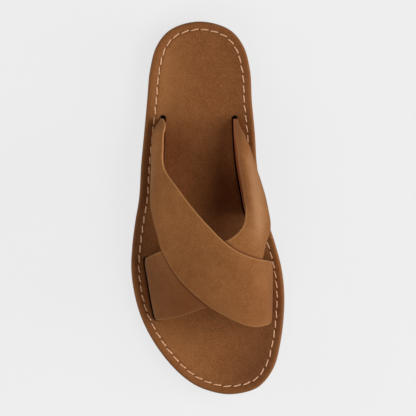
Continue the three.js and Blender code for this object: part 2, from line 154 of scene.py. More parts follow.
OUTLINE = (
    OutlineRow(0.021, -0.245, 0.139),
    OutlineRow(0.064, -0.338, 0.232),
    OutlineRow(0.129, -0.384, 0.278),
    OutlineRow(0.214, -0.404, 0.291),
    OutlineRow(0.300, -0.424, 0.311),
    OutlineRow(0.386, -0.444, 0.325),
    OutlineRow(0.472, -0.457, 0.358),
    OutlineRow(0.536, -0.483, 0.399),
    OutlineRow(0.601, -0.503, 0.450),
    OutlineRow(0.665, -0.510, 0.490),
    OutlineRow(0.729, -0.490, 0.507),
    OutlineRow(0.794, -0.444, 0.503),
    OutlineRow(0.858, -0.364, 0.483),
    OutlineRow(0.922, -0.245, 0.444),
    OutlineRow(0.965, -0.126, 0.377),
    OutlineRow(0.987, -0.020, 0.305),
)
LEVELS = (
    LevelRow(0.00, 1.00, 0.00, 0.00, 1.0),
    LevelRow(0.04, 0.99, 0.00, 0.00, 0.2),
    LevelRow(0.08, 0.97, 0.00, 0.00, 0.0),
    LevelRow(0.26, 0.74, 0.00, 0.00, 0.0),
    LevelRow(0.35, 0.60, 0.65, 0.00, 0.0),
    LevelRow(0.44, 0.43, 1.00, 0.00, 0.0),
    LevelRow(0.53, 0.26, 0.60, 0.00, 0.0),
    LevelRow(0.61, 0.12, 0.00, 0.00, 0.0),
    LevelRow(0.70, 0.00, 0.00, 0.00, 0.0),
    LevelRow(0.79, 0.00, 0.00, 0.00, 0.0),
    LevelRow(0.87, 0.00, 0.00, 0.22, 0.0),
    LevelRow(0.94, 0.00, 0.00, 0.60, 0.0),
    LevelRow(1.00, 0.00, 0.00, 1.00, 0.0),
)
RIM = (
    RimRow(0.000, 0.00),
    RimRow(0.018, 0.50),
    RimRow(0.050, 0.84),
    RimRow(0.095, 0.99),
    RimRow(0.160, 1.00),
    RimRow(0.280, 0.90),
    RimRow(0.400, 0.74),
    RimRow(0.550, 0.44),
    RimRow(0.750, 0.14),
    RimRow(1.000, 0.00),
)
FOOTBED_SIDE = (
    BandRow(1.00, 1.00),
    BandRow(0.55, 0.93),
    BandRow(0.25, 0.78),
    BandRow(0.06, 0.60),
    BandRow(0.00, 0.40),
    BandRow(0.03, 0.25),
    BandRow(0.12, 0.12),
)
WEAR = (
    WearRow(-0.07, 0.13, 20 * MM, 26 * MM, 0.50 * MM),
    WearRow(0.00, 0.74, 34 * MM, 26 * MM, 0.45 * MM),
)
OUTSOLE_SIDE = (
    SideRow(0.80, 0.00),
    SideRow(0.15, 0.09),
    SideRow(0.00, 0.42),
    SideRow(0.95, 0.47),
    SideRow(1.00, 0.56),
    SideRow(0.10, 0.62),
    SideRow(0.00, 0.94),
    SideRow(0.40, 1.00),
)
TREAD_ZONES = (ZoneRow(0.075, 0.28), ZoneRow(0.585, 0.93))
FORM_PLAN = (
    PlanRow(0.240, -0.306, -0.306, -0.053, 0.190, 0.188),
    PlanRow(0.260, -0.314, -0.316, -0.053, 0.200, 0.190),
    PlanRow(0.280, -0.316, -0.340, -0.050, 0.210, 0.191),
    PlanRow(0.300, -0.319, -0.367, -0.046, 0.235, 0.193),
    PlanRow(0.345, -0.325, -0.372, -0.033, 0.282, 0.200),
    PlanRow(0.400, -0.330, -0.376, -0.020, 0.325, 0.215),
    PlanRow(0.450, -0.337, -0.380, 0.000, 0.367, 0.237),
    PlanRow(0.505, -0.348, -0.384, 0.020, 0.397, 0.264),
    PlanRow(0.550, -0.369, -0.397, 0.033, 0.416, 0.314),
    PlanRow(0.590, -0.391, -0.411, 0.040, 0.424, 0.371),
    PlanRow(0.640, -0.411, -0.417, 0.046, 0.426, 0.414),
    PlanRow(0.690, -0.394, -0.399, 0.053, 0.428, 0.421),
    PlanRow(0.745, -0.371, -0.377, 0.060, 0.427, 0.421),
    PlanRow(0.800, -0.344, -0.351, 0.066, 0.424, 0.414),
    PlanRow(0.840, -0.325, -0.331, 0.073, 0.411, 0.404),
)
FORM_HEIGHT = (
    HeightRow(0.240, 0.17, 0.34),
    HeightRow(0.260, 0.22, 0.40),
    HeightRow(0.300, 0.30, 0.57),
    HeightRow(0.345, 0.35, 0.68),
    HeightRow(0.400, 0.38, 0.79),
    HeightRow(0.450, 0.40, 0.89),
    HeightRow(0.505, 0.40, 0.96),
    HeightRow(0.550, 0.36, 1.00),
    HeightRow(0.590, 0.31, 0.99),
    HeightRow(0.640, 0.26, 0.94),
    HeightRow(0.690, 0.22, 0.85),
    HeightRow(0.745, 0.19, 0.74),
    HeightRow(0.800, 0.16, 0.60),
    HeightRow(0.840, 0.14, 0.49),
)
UPPER_STRAP = (
    StrapRow(0.000, 0.260, 0.000, 0.477),
    StrapRow(0.090, 0.261, 0.080, 0.485),
    StrapRow(0.197, 0.264, 0.145, 0.496),
    StrapRow(0.264, 0.292, 0.170, 0.508),
    StrapRow(0.265, 0.325, 0.192, 0.524),
    StrapRow(0.267, 0.385, 0.213, 0.545),
    StrapRow(0.335, 0.440, 0.238, 0.570),
    StrapRow(0.420, 0.506, 0.264, 0.599),
    StrapRow(0.512, 0.564, 0.300, 0.637),
    StrapRow(0.613, 0.610, 0.352, 0.692),
    StrapRow(0.713, 0.632, 0.460, 0.751),
    StrapRow(0.790, 0.638, 0.600, 0.796),
    StrapRow(0.850, 0.641, 0.740, 0.817),
    StrapRow(0.920, 0.643, 0.860, 0.812),
    StrapRow(1.000, 0.643, 1.000, 0.800),
)
LOWER_STRAP = (
    StrapRow(0.000, 0.633, 0.000, 0.800),
    StrapRow(0.080, 0.633, 0.100, 0.800),
    StrapRow(0.170, 0.629, 0.200, 0.797),
    StrapRow(0.260, 0.616, 0.300, 0.789),
    StrapRow(0.360, 0.610, 0.420, 0.771),
    StrapRow(0.450, 0.604, 0.540, 0.750),
    StrapRow(0.530, 0.592, 0.650, 0.718),
    StrapRow(0.590, 0.580, 0.725, 0.680),
    StrapRow(0.637, 0.549, 0.762, 0.645),
    StrapRow(0.655, 0.500, 0.775, 0.617),
    StrapRow(0.662, 0.450, 0.788, 0.592),
    StrapRow(0.690, 0.380, 0.810, 0.572),
    StrapRow(0.730, 0.325, 0.840, 0.556),
    StrapRow(0.783, 0.286, 0.878, 0.542),
    StrapRow(0.828, 0.268, 0.910, 0.533),
    StrapRow(0.890, 0.262, 0.950, 0.524),
    StrapRow(1.000, 0.261, 1.000, 0.515),
)
STITCH_INSET = (
    StitchRow(0.00, 0.0062, 0.0062),
    StitchRow(0.12, 0.0070, 0.0060),
    StitchRow(0.35, 0.0066, 0.0058),
    StitchRow(0.60, 0.0062, 0.0056),
    StitchRow(0.80, 0.0058, 0.0060),
    StitchRow(1.00, 0.0062, 0.0064),
)


def smoothstep(value: Array, low: float, high: float) -> Array:
    """Rises smoothly from 0 at low to 1 at high."""
    share = np.clip((value - low) / (high - low), 0.0, 1.0)
    return share * share * (3.0 - 2.0 * share)


def bell(distance: Array, width: float) -> Array:
    """1 at no distance, fading to nothing at a few widths."""
    return np.exp(-((distance / width) ** 2))


def unit(vectors: Array) -> Array:
    """The vectors at length one."""
    return vectors / np.maximum(np.linalg.norm(vectors, axis=-1, keepdims=True), TINY)


class Column:
    """One column of a table as a curve through its rows that never overshoots them."""

    def __init__(self, stations: Sequence[float], values: Sequence[float]) -> None:
        """Keeps the rows and works out the slope at each.

        Args:
            stations: the rows' stations, rising.
            values: the column's value in each row.
        """
        self.x = np.array(stations, float)
        self.y = np.array(values, float)
        rate = np.diff(self.y) / np.diff(self.x)
        before, after = rate[:-1], rate[1:]
        turning = before * after <= 0
        total = np.where(turning, 1.0, before + after)
        inner = np.where(turning, 0.0, 2 * before * after / total)
        self.slope = np.concatenate([rate[:1], inner, rate[-1:]])

    def __call__(self, station: Array | float) -> Array:
        """The value at any station; past the ends it stays as it is there."""
        at = np.clip(np.asarray(station, float), self.x[0], self.x[-1])
        i = np.clip(np.searchsorted(self.x, at) - 1, 0, len(self.x) - 2)
        span = self.x[i + 1] - self.x[i]
        u = (at - self.x[i]) / span
        v = 1 - u
        start = v * v * ((1 + 2 * u) * self.y[i] + u * span * self.slope[i])
        end = u * u * ((1 + 2 * v) * self.y[i + 1] - v * span * self.slope[i + 1])
        return start + end


def table_column(rows: Sequence[NamedTuple], name: str) -> Column:
    """The named column of a table as a curve over the table's first column."""
    return Column([row[0] for row in rows], [getattr(row, name) for row in rows])


def travelled(line: Array) -> Array:
    """How far along a line of straight pieces each of its corners lies."""
    return np.concatenate([[0], np.cumsum(np.linalg.norm(np.diff(line, axis=0), axis=1))])


def read_columns(places: Array, known: Array, values: Array) -> Array:
    """Reads each column of values, given at known places, at other places."""
    return np.column_stack([np.interp(places, known, column) for column in values.T])


def through(points: Array, shares: Array, closed: bool = False) -> Array:
    """Points of a smooth centripetal curve through given points.

    Args:
        points: the points that the curve runs through, one row each.
        shares: where to read the curve, from 0 at its first point to 1 at its last, or at its first again.
        closed: whether the curve joins up.

    Returns:
        One row for each share.
    """
    count = len(points)
    if closed:
        spans = count
        around = np.vstack([points[-1], points, points[0], points[1]])
    else:
        spans = count - 1
        around = np.vstack([2 * points[0] - points[1], points, 2 * points[-1] - points[-2]])
    place = np.asarray(shares, float) * spans
    i = np.clip(np.floor(place).astype(int), 0, spans - 1)
    u = (place - i)[:, None]
    p = [around[i + k] for k in range(4)]
    runs = [np.linalg.norm(p[k + 1] - p[k], axis=1, keepdims=True) for k in range(3)]
    gap = [np.maximum(run**0.5, 1e-9) for run in runs]
    start = (p[1] - p[0]) / gap[0] - (p[2] - p[0]) / (gap[0] + gap[1]) + (p[2] - p[1]) / gap[1]
    end = (p[2] - p[1]) / gap[1] - (p[3] - p[1]) / (gap[1] + gap[2]) + (p[3] - p[2]) / gap[2]
    start, end = start * gap[1], end * gap[1]
    square, cube = u * u, u * u * u
    rise = (2 * cube - 3 * square + 1) * p[1] + (-2 * cube + 3 * square) * p[2]
    return rise + (cube - 2 * square + u) * start + (cube - square) * end


def nearest(points: Array, line: Array, closed: bool, block: int = 4000) -> tuple[Array, Array]:
    """Distance from each point to a line of straight pieces in plan, and where on it the nearest place is.

    Args:
        points: x and y of each point.
        line: x and y of the line's corners.
        closed: whether the last corner joins the first.
        block: how many points are worked on at once.

    Returns:
        The distances, and the places as a corner's number and a share of the piece that follows it.
    """
    start = line if closed else line[:-1]
    run = (np.roll(line, -1, axis=0) if closed else line[1:]) - start
    size = np.maximum((run**2).sum(1), TINY**2)
    distances, places = [], []
    for first in range(0, len(points), block):
        offset = points[first : first + block, None, :] - start[None]
        share = np.clip((offset * run).sum(2) / size, 0, 1)
        away = ((offset - share[..., None] * run) ** 2).sum(2)
        best = away.argmin(1)
        rows = np.arange(len(best))
        distances.append(np.sqrt(away[rows, best]))
        places.append(best + share[rows, best])
    return np.concatenate(distances), np.concatenate(places)


@dataclass(frozen=True)
class SoleForm:
    """The form that footbed and outsole share: outline, dish, heel, waist and toe spring."""

    length: float = 0.285
    ball_width: float = 0.1154
    heel_stack: float = 0.020
    ball_stack: float = 0.0125
    toe_spring: float = 0.005
    waist_relief: float = 0.0016
    heel_roll: float = 0.0016
    footbed_thickness: float = 0.005
    gap: float = 0.0003
    heel_tip: float = -0.056
    toe_tip: float = 0.139

    def y_at(self, station: Array | float) -> Array:
        """Y of a station."""
        return (0.5 - np.asarray(station)) * self.length

    def station_at(self, y: Array | float) -> Array:
        """The station of a Y."""
        return 0.5 - np.asarray(y) / self.length

    def level(self, name: str, station: Array | float) -> Array:
        """A column of the table of levels at a station."""
        return table_column(LEVELS, name)(station)

    def dish(self, station: Array | float) -> Array:
        """Height of the footbed's dish above the floor."""
        heel = (self.heel_stack - self.ball_stack) * self.level("heel", station)
        return self.ball_stack + heel + self.toe_spring * self.level("toe", station)

    def underside(self, station: Array | float) -> Array:
        """Height of the outsole's underside above the floor."""
        waist = self.waist_relief * self.level("waist", station)
        toe = self.toe_spring * self.level("toe", station)
        return waist + toe + self.heel_roll * self.level("roll", station)

    def rubber_top(self, station: Array | float) -> Array:
        """Height of the outsole's top face."""
        return self.dish(station) - self.footbed_thickness - self.gap

    def edge(self, samples: int = 6000) -> tuple[Array, Array]:
        """The footbed's edge in plan, from the heel tip over the outer side.

        Args:
            samples: how many points.

        Returns:
            Points evenly round the edge, and the outward direction at each.
        """
        places = [(self.heel_tip, 0.0)]
        places += [(row.outer, row.station) for row in OUTLINE]
        places += [(self.toe_tip, 1.0)]
        places += [(row.inner, row.station) for row in reversed(OUTLINE)]
        corners = np.array([(share * self.ball_width, self.y_at(station)) for share, station in places])
        dense = through(corners, np.linspace(0, 1, samples * 2, endpoint=False), closed=True)
        closed = np.vstack([dense, dense[:1]])
        lengths = travelled(closed)
        wanted = np.linspace(0, lengths[-1], samples, endpoint=False)
        points = read_columns(wanted, lengths, closed)
        tangent = unit(np.roll(points, -1, axis=0) - np.roll(points, 1, axis=0))
        return points, np.column_stack([tangent[:, 1], -tangent[:, 0]])


@dataclass
class StitchPath:
    """The line of stitches inside the footbed's edge, which also spaces the points of the meshes' rings."""

    form: SoleForm
    pitch: float = 7.55 * MM
    points_per_stitch: int = 12
    blend_width: float = 10 * MM
    count: int = field(init=False)
    point: Array = field(init=False)
    outward: Array = field(init=False)
    inset: Array = field(init=False)

    def __post_init__(self) -> None:
        """Spaces the stitches evenly along the line and reads the edge beside each point."""
        edge, outward = self.form.edge()
        line = edge - outward * self.inset_at(edge)[:, None]
        lengths = travelled(np.vstack([line, line[:1]]))
        self.count = 2 * round(lengths[-1] / self.pitch / 2)
        wanted = np.linspace(0, lengths[-1], self.count * self.points_per_stitch, endpoint=False)
        order = np.arange(len(lengths))
        index = np.interp(wanted, lengths, order)
        self.point = read_columns(index, order, np.vstack([edge, edge[:1]]))
        self.outward = unit(read_columns(index, order, np.vstack([outward, outward[:1]])))
        self.inset = self.inset_at(self.point)

    def inset_at(self, edge: Array) -> Array:
        """Distance of the stitching from the edge beside each point of the edge."""
        station = self.form.station_at(edge[:, 1])
        middle = np.interp(station, [0, 1], [self.form.heel_tip, self.form.toe_tip]) * self.form.ball_width
        side = smoothstep(edge[:, 0] - middle, -self.blend_width, self.blend_width)
        outer = table_column(STITCH_INSET, "outer")(station)
        inner = table_column(STITCH_INSET, "inner")(station)
        return outer + (inner - outer) * side


@dataclass
class FootForm:
    """The foot shape that the straps lie on, worked out once on a fine grid of stations and girth."""

    sole: SoleForm
    instep_height: float = 0.053
    roundness: float = 2.25
    flare_sharpness: float = 1.4
    stations: int = 700
    columns: int = 640
    wall_steps: int = 30
    arch_steps: int = 240
    first: float = FORM_PLAN[0].station
    last: float = FORM_PLAN[-1].station
    points: Array = field(init=False)
    normals: Array = field(init=False)

    def __post_init__(self) -> None:
        """Fills the grid of points and of the directions straight off the form."""
        stations = np.linspace(self.first, self.last, self.stations)
        self.points = np.stack([self.section(station) for station in stations])
        along = np.gradient(self.points, axis=0)
        over = np.gradient(self.points, axis=1)
        self.normals = unit(np.cross(along, over))

    def section(self, station: float) -> Array:
        """Points evenly over the section of the form at one station, from the outer slot to the inner one."""
        wall_height = float(table_column(FORM_HEIGHT, "wall")(station)) * self.instep_height
        top_height = float(table_column(FORM_HEIGHT, "top")(station)) * self.instep_height
        plan = PlanRow(*(float(table_column(FORM_PLAN, name)(station)) for name in PlanRow._fields))
        walls = (plan.outer_wall, plan.inner_wall)
        slots = (plan.outer_slot, plan.inner_slot)
        climb = np.arange(self.wall_steps) / self.wall_steps
        lean = np.sin(math.pi / 2 * climb) ** self.flare_sharpness
        outer = np.column_stack([slots[0] + (walls[0] - slots[0]) * lean, wall_height * climb])
        inner = np.column_stack([slots[1] + (walls[1] - slots[1]) * lean, wall_height * climb])[::-1]
        angle = math.pi * (1 - np.cos(math.pi * np.linspace(0, 1, self.arch_steps + 1))) / 2
        outward = np.abs(np.cos(angle)) ** (2 / self.roundness)
        upward = np.abs(np.sin(angle)) ** (2 / self.roundness)
        wall = np.where(angle < math.pi / 2, walls[0], walls[1])
        x = plan.crest + (wall - plan.crest) * outward
        arch = np.column_stack([x, wall_height + (top_height - wall_height) * upward])
        line = np.vstack([outer, arch, inner])
        line[:, 0] *= self.sole.ball_width
        lengths = travelled(line)
        x, rise = read_columns(np.linspace(0, lengths[-1], self.columns), lengths, line).T
        y = np.full_like(x, self.sole.y_at(station))
        return np.column_stack([x, y, self.sole.dish(station) + rise])

    def read(self, grid: Array, around: Array, station: Array) -> Array:
        """Values of a grid between its points."""
        row = np.clip((station - self.first) / (self.last - self.first), 0, 1) * (self.stations - 1)
        column = np.clip(around, 0, 1) * (self.columns - 1)
        i = np.clip(row.astype(int), 0, self.stations - 2)
        j = np.clip(column.astype(int), 0, self.columns - 2)
        u, v = (row - i)[..., None], (column - j)[..., None]
        low = grid[i, j] * (1 - v) + grid[i, j + 1] * v
        high = grid[i + 1, j] * (1 - v) + grid[i + 1, j + 1] * v
        return low * (1 - u) + high * u

    def place(self, around: Array, station: Array) -> Array:
        """Points of the form."""
        return self.read(self.points, around, station)

    def off(self, around: Array, station: Array) -> Array:
        """Directions straight off the form."""
        return unit(self.read(self.normals, around, station))


class MeshBuild:
    """Collects points, faces and face materials, and makes a mesh object of them."""

    def __init__(self) -> None:
        """Starts empty."""
        self.points: list[Array] = []
        self.faces: list[Array] = []
        self.slots: list[Array] = []
        self.total = 0

    def add_points(self, points: Array) -> int:
        """Adds points and returns the number of the first."""
        first = self.total
        self.points.append(points)
        self.total += len(points)
        return first

    def add_faces(self, faces: Array, slot: int | Array = 0) -> None:
        """Adds faces of equal size with one material, or with one for each."""
        self.faces.append(faces)
        self.slots.append(np.broadcast_to(slot, len(faces)).astype(np.int32))

    def loft(self, rings: Array, closed_rings: bool, slot: int | Array = 0) -> int:
        """Joins equal rings of points by four-sided faces.

        Args:
            rings: points by ring and place in the ring.
            closed_rings: whether the first ring follows the last.
            slot: the material of all faces, or one for each place in the ring.

        Returns:
            The number of the first point.
        """
        count, size = rings.shape[:2]
        first = self.add_points(rings.reshape(-1, 3))
        r = np.arange(count if closed_rings else count - 1)[:, None] * size
        k = np.arange(size)[None]
        beside = (k + 1) % size
        above = (r + size) % (count * size)
        quads = np.stack([r + k, r + beside, above + beside, above + k], axis=2)
        slots = np.broadcast_to(slot, (len(r), size)).reshape(-1)
        self.add_faces(first + quads.reshape(-1, 4), slots)
        return first

    def cap_ends(self, first: int, size: int, last: int, slot: int = 0) -> None:
        """Closes both ends of a loft by one face each.

        Args:
            first: number of the first ring's first point.
            size: how many points a ring has.
            last: number of the last ring's first point.
            slot: the material of both faces.
        """
        self.add_faces(np.arange(first, first + size)[None, ::-1], slot)
        self.add_faces(np.arange(last, last + size)[None], slot)

    def strips(self, first: int, ring: Array, divisions: int, height: Heights, upward: bool) -> None:
        """Closes a ring by strips across it, from each point to its opposite number.

        Args:
            first: number of the ring's first point.
            ring: the ring's points.
            divisions: faces across.
            height: the height of the points inside, from their places.
            upward: whether the faces look up.
        """
        size = len(ring)
        left = np.arange(1, size // 2)
        right = size - left
        share = np.arange(1, divisions)[None, :, None] / divisions
        inside = ring[left][:, None] * (1 - share) + ring[right][:, None] * share
        inside[..., 2] = height(inside)
        start = self.add_points(inside.reshape(-1, 3))
        middle = start + np.arange(inside.shape[0] * inside.shape[1]).reshape(inside.shape[:2])
        rows = np.column_stack([first + left, middle, first + right])
        quads = np.stack([rows[:-1, :-1], rows[1:, :-1], rows[1:, 1:], rows[:-1, 1:]], axis=2).reshape(-1, 4)
        heel = np.stack([np.full(divisions, first), rows[0, :-1], rows[0, 1:]], axis=1)
        toe = np.stack([rows[-1, :-1], np.full(divisions, first + size // 2), rows[-1, 1:]], axis=1)
        for faces in (quads, heel, toe):
            self.add_faces(faces if upward else faces[:, ::-1])

    def finish(
        self, name: str, materials: Sequence[bpy.types.Material], sharp: float = 40.0
    ) -> bpy.types.Object:
        """Makes the object.

        Args:
            name: the object's name.
            materials: what the faces' material numbers stand for.
            sharp: edges that bend more than this many degrees stay sharp.

        Returns:
            The object, linked to the scene.
        """
        mesh = bpy.data.meshes.new(name)
        faces = [face for group in self.faces for face in group.tolist()]
        mesh.from_pydata(np.concatenate(self.points).tolist(), [], faces)
        for material in materials:
            mesh.materials.append(material)
        mesh.polygons.foreach_set("material_index", np.concatenate(self.slots))
        return shown(name, mesh, sharp)


def shown(name: str, mesh: bpy.types.Mesh, sharp: float = 40.0) -> bpy.types.Object:
    """Links a mesh to the scene, smooth but for its sharp edges."""
    mesh.validate()
    mesh.polygons.foreach_set("use_smooth", np.ones(len(mesh.polygons), bool))
    mesh.set_sharp_from_angle(angle=math.radians(sharp))
    made = bpy.data.objects.new(name, mesh)
    bpy.context.scene.collection.objects.link(made)
    return made


def cut(body: bpy.types.Object, cutters: Sequence[bpy.types.Object], sharp: float) -> bpy.types.Object:
    """Takes the cutters out of a body and removes them.

    Args:
        body: what is cut.
        cutters: closed meshes.
        sharp: edges that bend more than this many degrees stay sharp.

    Returns:
        The cut body, in place of the old one.
    """
    for cutter in cutters:
        step = body.modifiers.new(cutter.name, "BOOLEAN")
        step.operation = "DIFFERENCE"
        step.solver = "EXACT"
        step.object = cutter
    graph = bpy.context.evaluated_depsgraph_get()
    mesh = bpy.data.meshes.new_from_object(body.evaluated_get(graph))
    name = body.name
    for old in (body, *cutters):
        bpy.data.objects.remove(old)
    mesh.name = name
    return shown(name, mesh, sharp)


def vectors_of(items: bpy.types.bpy_prop_collection, name: str) -> Array:
    """The named vector of each of a mesh's points or faces, as rows."""
    flat = np.empty(len(items) * 3)
    items.foreach_get(name, flat)
    return flat.reshape(-1, 3)


def mark(mesh: bpy.types.Mesh, name: str, values: Array) -> None:
    """Gives the mesh a number for each point, which a material can read by name."""
    layer = mesh.attributes.get(name) or mesh.attributes.new(name, "FLOAT", "POINT")
    layer.data.foreach_set("value", np.ascontiguousarray(values, np.float32))


def colour(red: float, green: float, blue: float) -> Colour:
    """A colour as the screen shows it, from 0 to 255, as the light that a shader takes."""
    parts = [value / 255 for value in (red, green, blue)]
    red, green, blue = (c / 12.92 if c <= 0.04045 else ((c + 0.055) / 1.055) ** 2.4 for c in parts)
    return red, green, blue, 1.0


class Graph:
    """Short ways to lay out a material's nodes."""

    def __init__(self, name: str) -> None:
        """Makes an empty material with its output."""
        self.material = bpy.data.materials.new(name)
        self.material.use_nodes = True
        self.tree = self.material.node_tree
        self.tree.nodes.clear()
        self.output = self.tree.nodes.new("ShaderNodeOutputMaterial")
        self.place = self.tree.nodes.new("ShaderNodeTexCoord").outputs["Object"]

    def link(self, source: Socket, target: Socket) -> None:
        """Joins two sockets."""
        self.tree.links.new(source, target)

    def stretched(self, scale: tuple[float, float, float], turn: float = 0.0) -> Socket:
        """The place on the object, stretched along each axis and turned about the upright one."""
        node = self.tree.nodes.new("ShaderNodeMapping")
        self.link(self.place, node.inputs["Vector"])
        node.inputs["Scale"].default_value = scale
        node.inputs["Rotation"].default_value[2] = turn
        return node.outputs["Vector"]

    def noise(
        self, size: float, detail: float = 3.0, rough: float = 0.55, place: Socket | None = None
    ) -> Socket:
        """Cloudy noise from 0 to 1 whose patches are about size metres across."""
        node = self.tree.nodes.new("ShaderNodeTexNoise")
        self.link(place or self.place, node.inputs["Vector"])
        node.inputs["Scale"].default_value = 1.0 / size
        node.inputs["Detail"].default_value = detail
        node.inputs["Roughness"].default_value = rough
        return node.outputs["Fac"]

    def cells(self, size: float) -> Socket:
        """Distance from the middle of each pebble of a grain whose pebbles are size metres across."""
        node = self.tree.nodes.new("ShaderNodeTexVoronoi")
        self.link(self.place, node.inputs["Vector"])
        node.inputs["Scale"].default_value = 1.0 / size
        return node.outputs["Distance"]

    def attribute(self, name: str) -> Socket:
        """A number that the mesh holds for each point."""
        node = self.tree.nodes.new("ShaderNodeAttribute")
        node.attribute_name = name
        return node.outputs["Fac"]

    def between(
        self, value: Socket, low: float, high: float, start: float = 0.0, end: float = 1.0
    ) -> Socket:
        """Maps low to high smoothly onto start to end."""
        node = self.tree.nodes.new("ShaderNodeMapRange")
        node.interpolation_type = "SMOOTHSTEP"
        self.link(value, node.inputs["Value"])
        for name, number in (("From Min", low), ("From Max", high), ("To Min", start), ("To Max", end)):
            node.inputs[name].default_value = number
        return node.outputs["Result"]

    def times(self, first: Socket, second: Socket | float) -> Socket:
        """One number times another."""
        node = self.tree.nodes.new("ShaderNodeMath")
        node.operation = "MULTIPLY"
        self.link(first, node.inputs[0])
        if isinstance(second, float):
            node.inputs[1].default_value = second
        else:
            self.link(second, node.inputs[1])
        return node.outputs[0]

    def mix(self, share: Socket, first: Socket | Colour, second: Socket | Colour) -> Socket:
        """Mixes two colours by a share."""
        node = self.tree.nodes.new("ShaderNodeMix")
        node.data_type = "RGBA"
        self.link(share, node.inputs["Factor"])
        for socket, value in ((node.inputs[6], first), (node.inputs[7], second)):
            if isinstance(value, tuple):
                socket.default_value = value
            else:
                self.link(value, socket)
        return node.outputs[2]

    def bump(self, height: Socket, depth: float, before: Socket | None = None) -> Socket:
        """Relief from a height of 0 to 1 that is depth metres high."""
        node = self.tree.nodes.new("ShaderNodeBump")
        node.inputs["Distance"].default_value = depth
        self.link(height, node.inputs["Height"])
        if before is not None:
            self.link(before, node.inputs["Normal"])
        return node.outputs["Normal"]

    def surface(self, settings: dict[str, float | tuple | Socket]) -> bpy.types.Material:
        """Ends the material in one surface shader.

        Args:
            settings: the shader's sockets by name, each with a plain value or the socket that feeds it.

        Returns:
            The material.
        """
        shader = self.tree.nodes.new("ShaderNodeBsdfPrincipled")
        for name, value in settings.items():
            if isinstance(value, Socket):
                self.link(value, shader.inputs[name])
            else:
                shader.inputs[name].default_value = value
        self.link(shader.outputs["BSDF"], self.output.inputs["Surface"])
        return self.material


@dataclass(frozen=True)
class Nubuck:
    """Leather with a brushed, velvety face: mottled colour, fine nap and a soft sheen."""

    name: str
    light: Colour
    middle: Colour
    dark: Colour
    rim: Colour
    # The dark colour of grain and of painted shade, then the pale colour of grain and of painted light.
    pressed_and_shaded: Colour
    pale_and_highlight: Colour
    mottle: float
    sheen: float
    nap_turn: float = 0.3
    nap_depth: float = 0.1 * MM
    sheen_tint: Colour = (1.0, 0.74, 0.50, 1.0)
    cloud_size: float = 38 * MM
    blotch_size: float = 7 * MM
    stroke_size: float = 1.3 * MM
    stroke_squeeze: float = 0.28
    fibre_size: float = 0.42 * MM
    grain_size: float = 1.15 * MM
    pebble_size: float = 2.6 * MM

    def build(self) -> bpy.types.Material:
        """Makes the material. It reads the mesh's rim number and its numbers of painted light and painted
        shade.
        """
        graph = Graph(self.name)
        clouds = graph.between(graph.noise(self.cloud_size, 3.0), 0.32, 0.68)
        blotches = graph.between(graph.noise(self.blotch_size, 4.0, 0.6), 0.3, 0.7)
        combed = graph.stretched((1.0, self.stroke_squeeze, 1.0), self.nap_turn)
        strokes = graph.noise(self.stroke_size, 3.0, 0.6, combed)
        fibres = graph.noise(self.fibre_size, 2.0, 0.7)
        grains = graph.noise(self.grain_size, 2.0, 0.8)
        base = graph.mix(clouds, self.middle, self.light)
        base = graph.mix(graph.times(blotches, 0.34), base, self.dark)
        speckle = graph.between(graph.times(strokes, fibres), 0.16, 0.36)
        base = graph.mix(graph.times(speckle, 0.2), base, self.light)
        # Random grain mottle toward the same dark and pale colours that carry the painted shade and painted
        # light below.
        base = graph.mix(graph.between(grains, 0.5, 0.66, 0.0, self.mottle), base, self.pressed_and_shaded)
        base = graph.mix(graph.between(grains, 0.5, 0.34, 0.0, self.mottle), base, self.pale_and_highlight)
        # Painted light from the mesh: pale patches and highlights.
        base = graph.mix(graph.attribute("pale_and_highlight"), base, self.pale_and_highlight)
        # The rim number: a painted highlight along the straps' edges, and the darker outer band of the
        # footbed.
        base = graph.mix(graph.attribute("rim"), base, self.rim)
        # Painted shade from the mesh.
        base = graph.mix(graph.attribute("pressed_and_shaded"), base, self.pressed_and_shaded)
        relief = graph.bump(graph.noise(self.pebble_size, 3.0, 0.5), self.nap_depth * 1.6)
        relief = graph.bump(strokes, self.nap_depth, relief)
        relief = graph.bump(fibres, self.nap_depth * 0.6, relief)
        return graph.surface(
            {
                "Base Color": base,
                "Roughness": graph.between(blotches, 0.0, 1.0, 0.78, 0.92),
                "Specular IOR Level": 0.22,
                "Sheen Weight": self.sheen,
                "Sheen Roughness": 0.5,
                "Sheen Tint": self.sheen_tint,
                "Normal": relief,
            }
        )


@dataclass(frozen=True)
class Lining:
    """Smooth reddish leather with a fine pebbled grain, on the inside of the straps."""

    name: str
    light: Colour
    dark: Colour
    cloud_size: float = 16 * MM
    pebble_size: float = 0.9 * MM
    pebble_depth: float = 0.06 * MM
    wave_size: float = 5 * MM
    wave_depth: float = 0.15 * MM

    def build(self) -> bpy.types.Material:
        """Makes the material."""
        graph = Graph(self.name)
        clouds = graph.between(graph.noise(self.cloud_size, 4.0), 0.3, 0.7)
        grain = graph.cells(self.pebble_size)
        base = graph.mix(clouds, self.dark, self.light)
        base = graph.mix(graph.between(grain, 0.35, 0.75, 0.0, 0.3), base, self.dark)
        relief = graph.bump(graph.between(grain, 0.1, 0.7, 1.0, 0.0), self.pebble_depth)
        relief = graph.bump(graph.noise(self.wave_size, 3.0), self.wave_depth, relief)
        return graph.surface(
            {
                "Base Color": base,
                "Roughness": graph.between(clouds, 0.0, 1.0, 0.5, 0.66),
                "Coat Weight": 0.06,
                "Coat Roughness": 0.4,
                "Normal": relief,
            }
        )


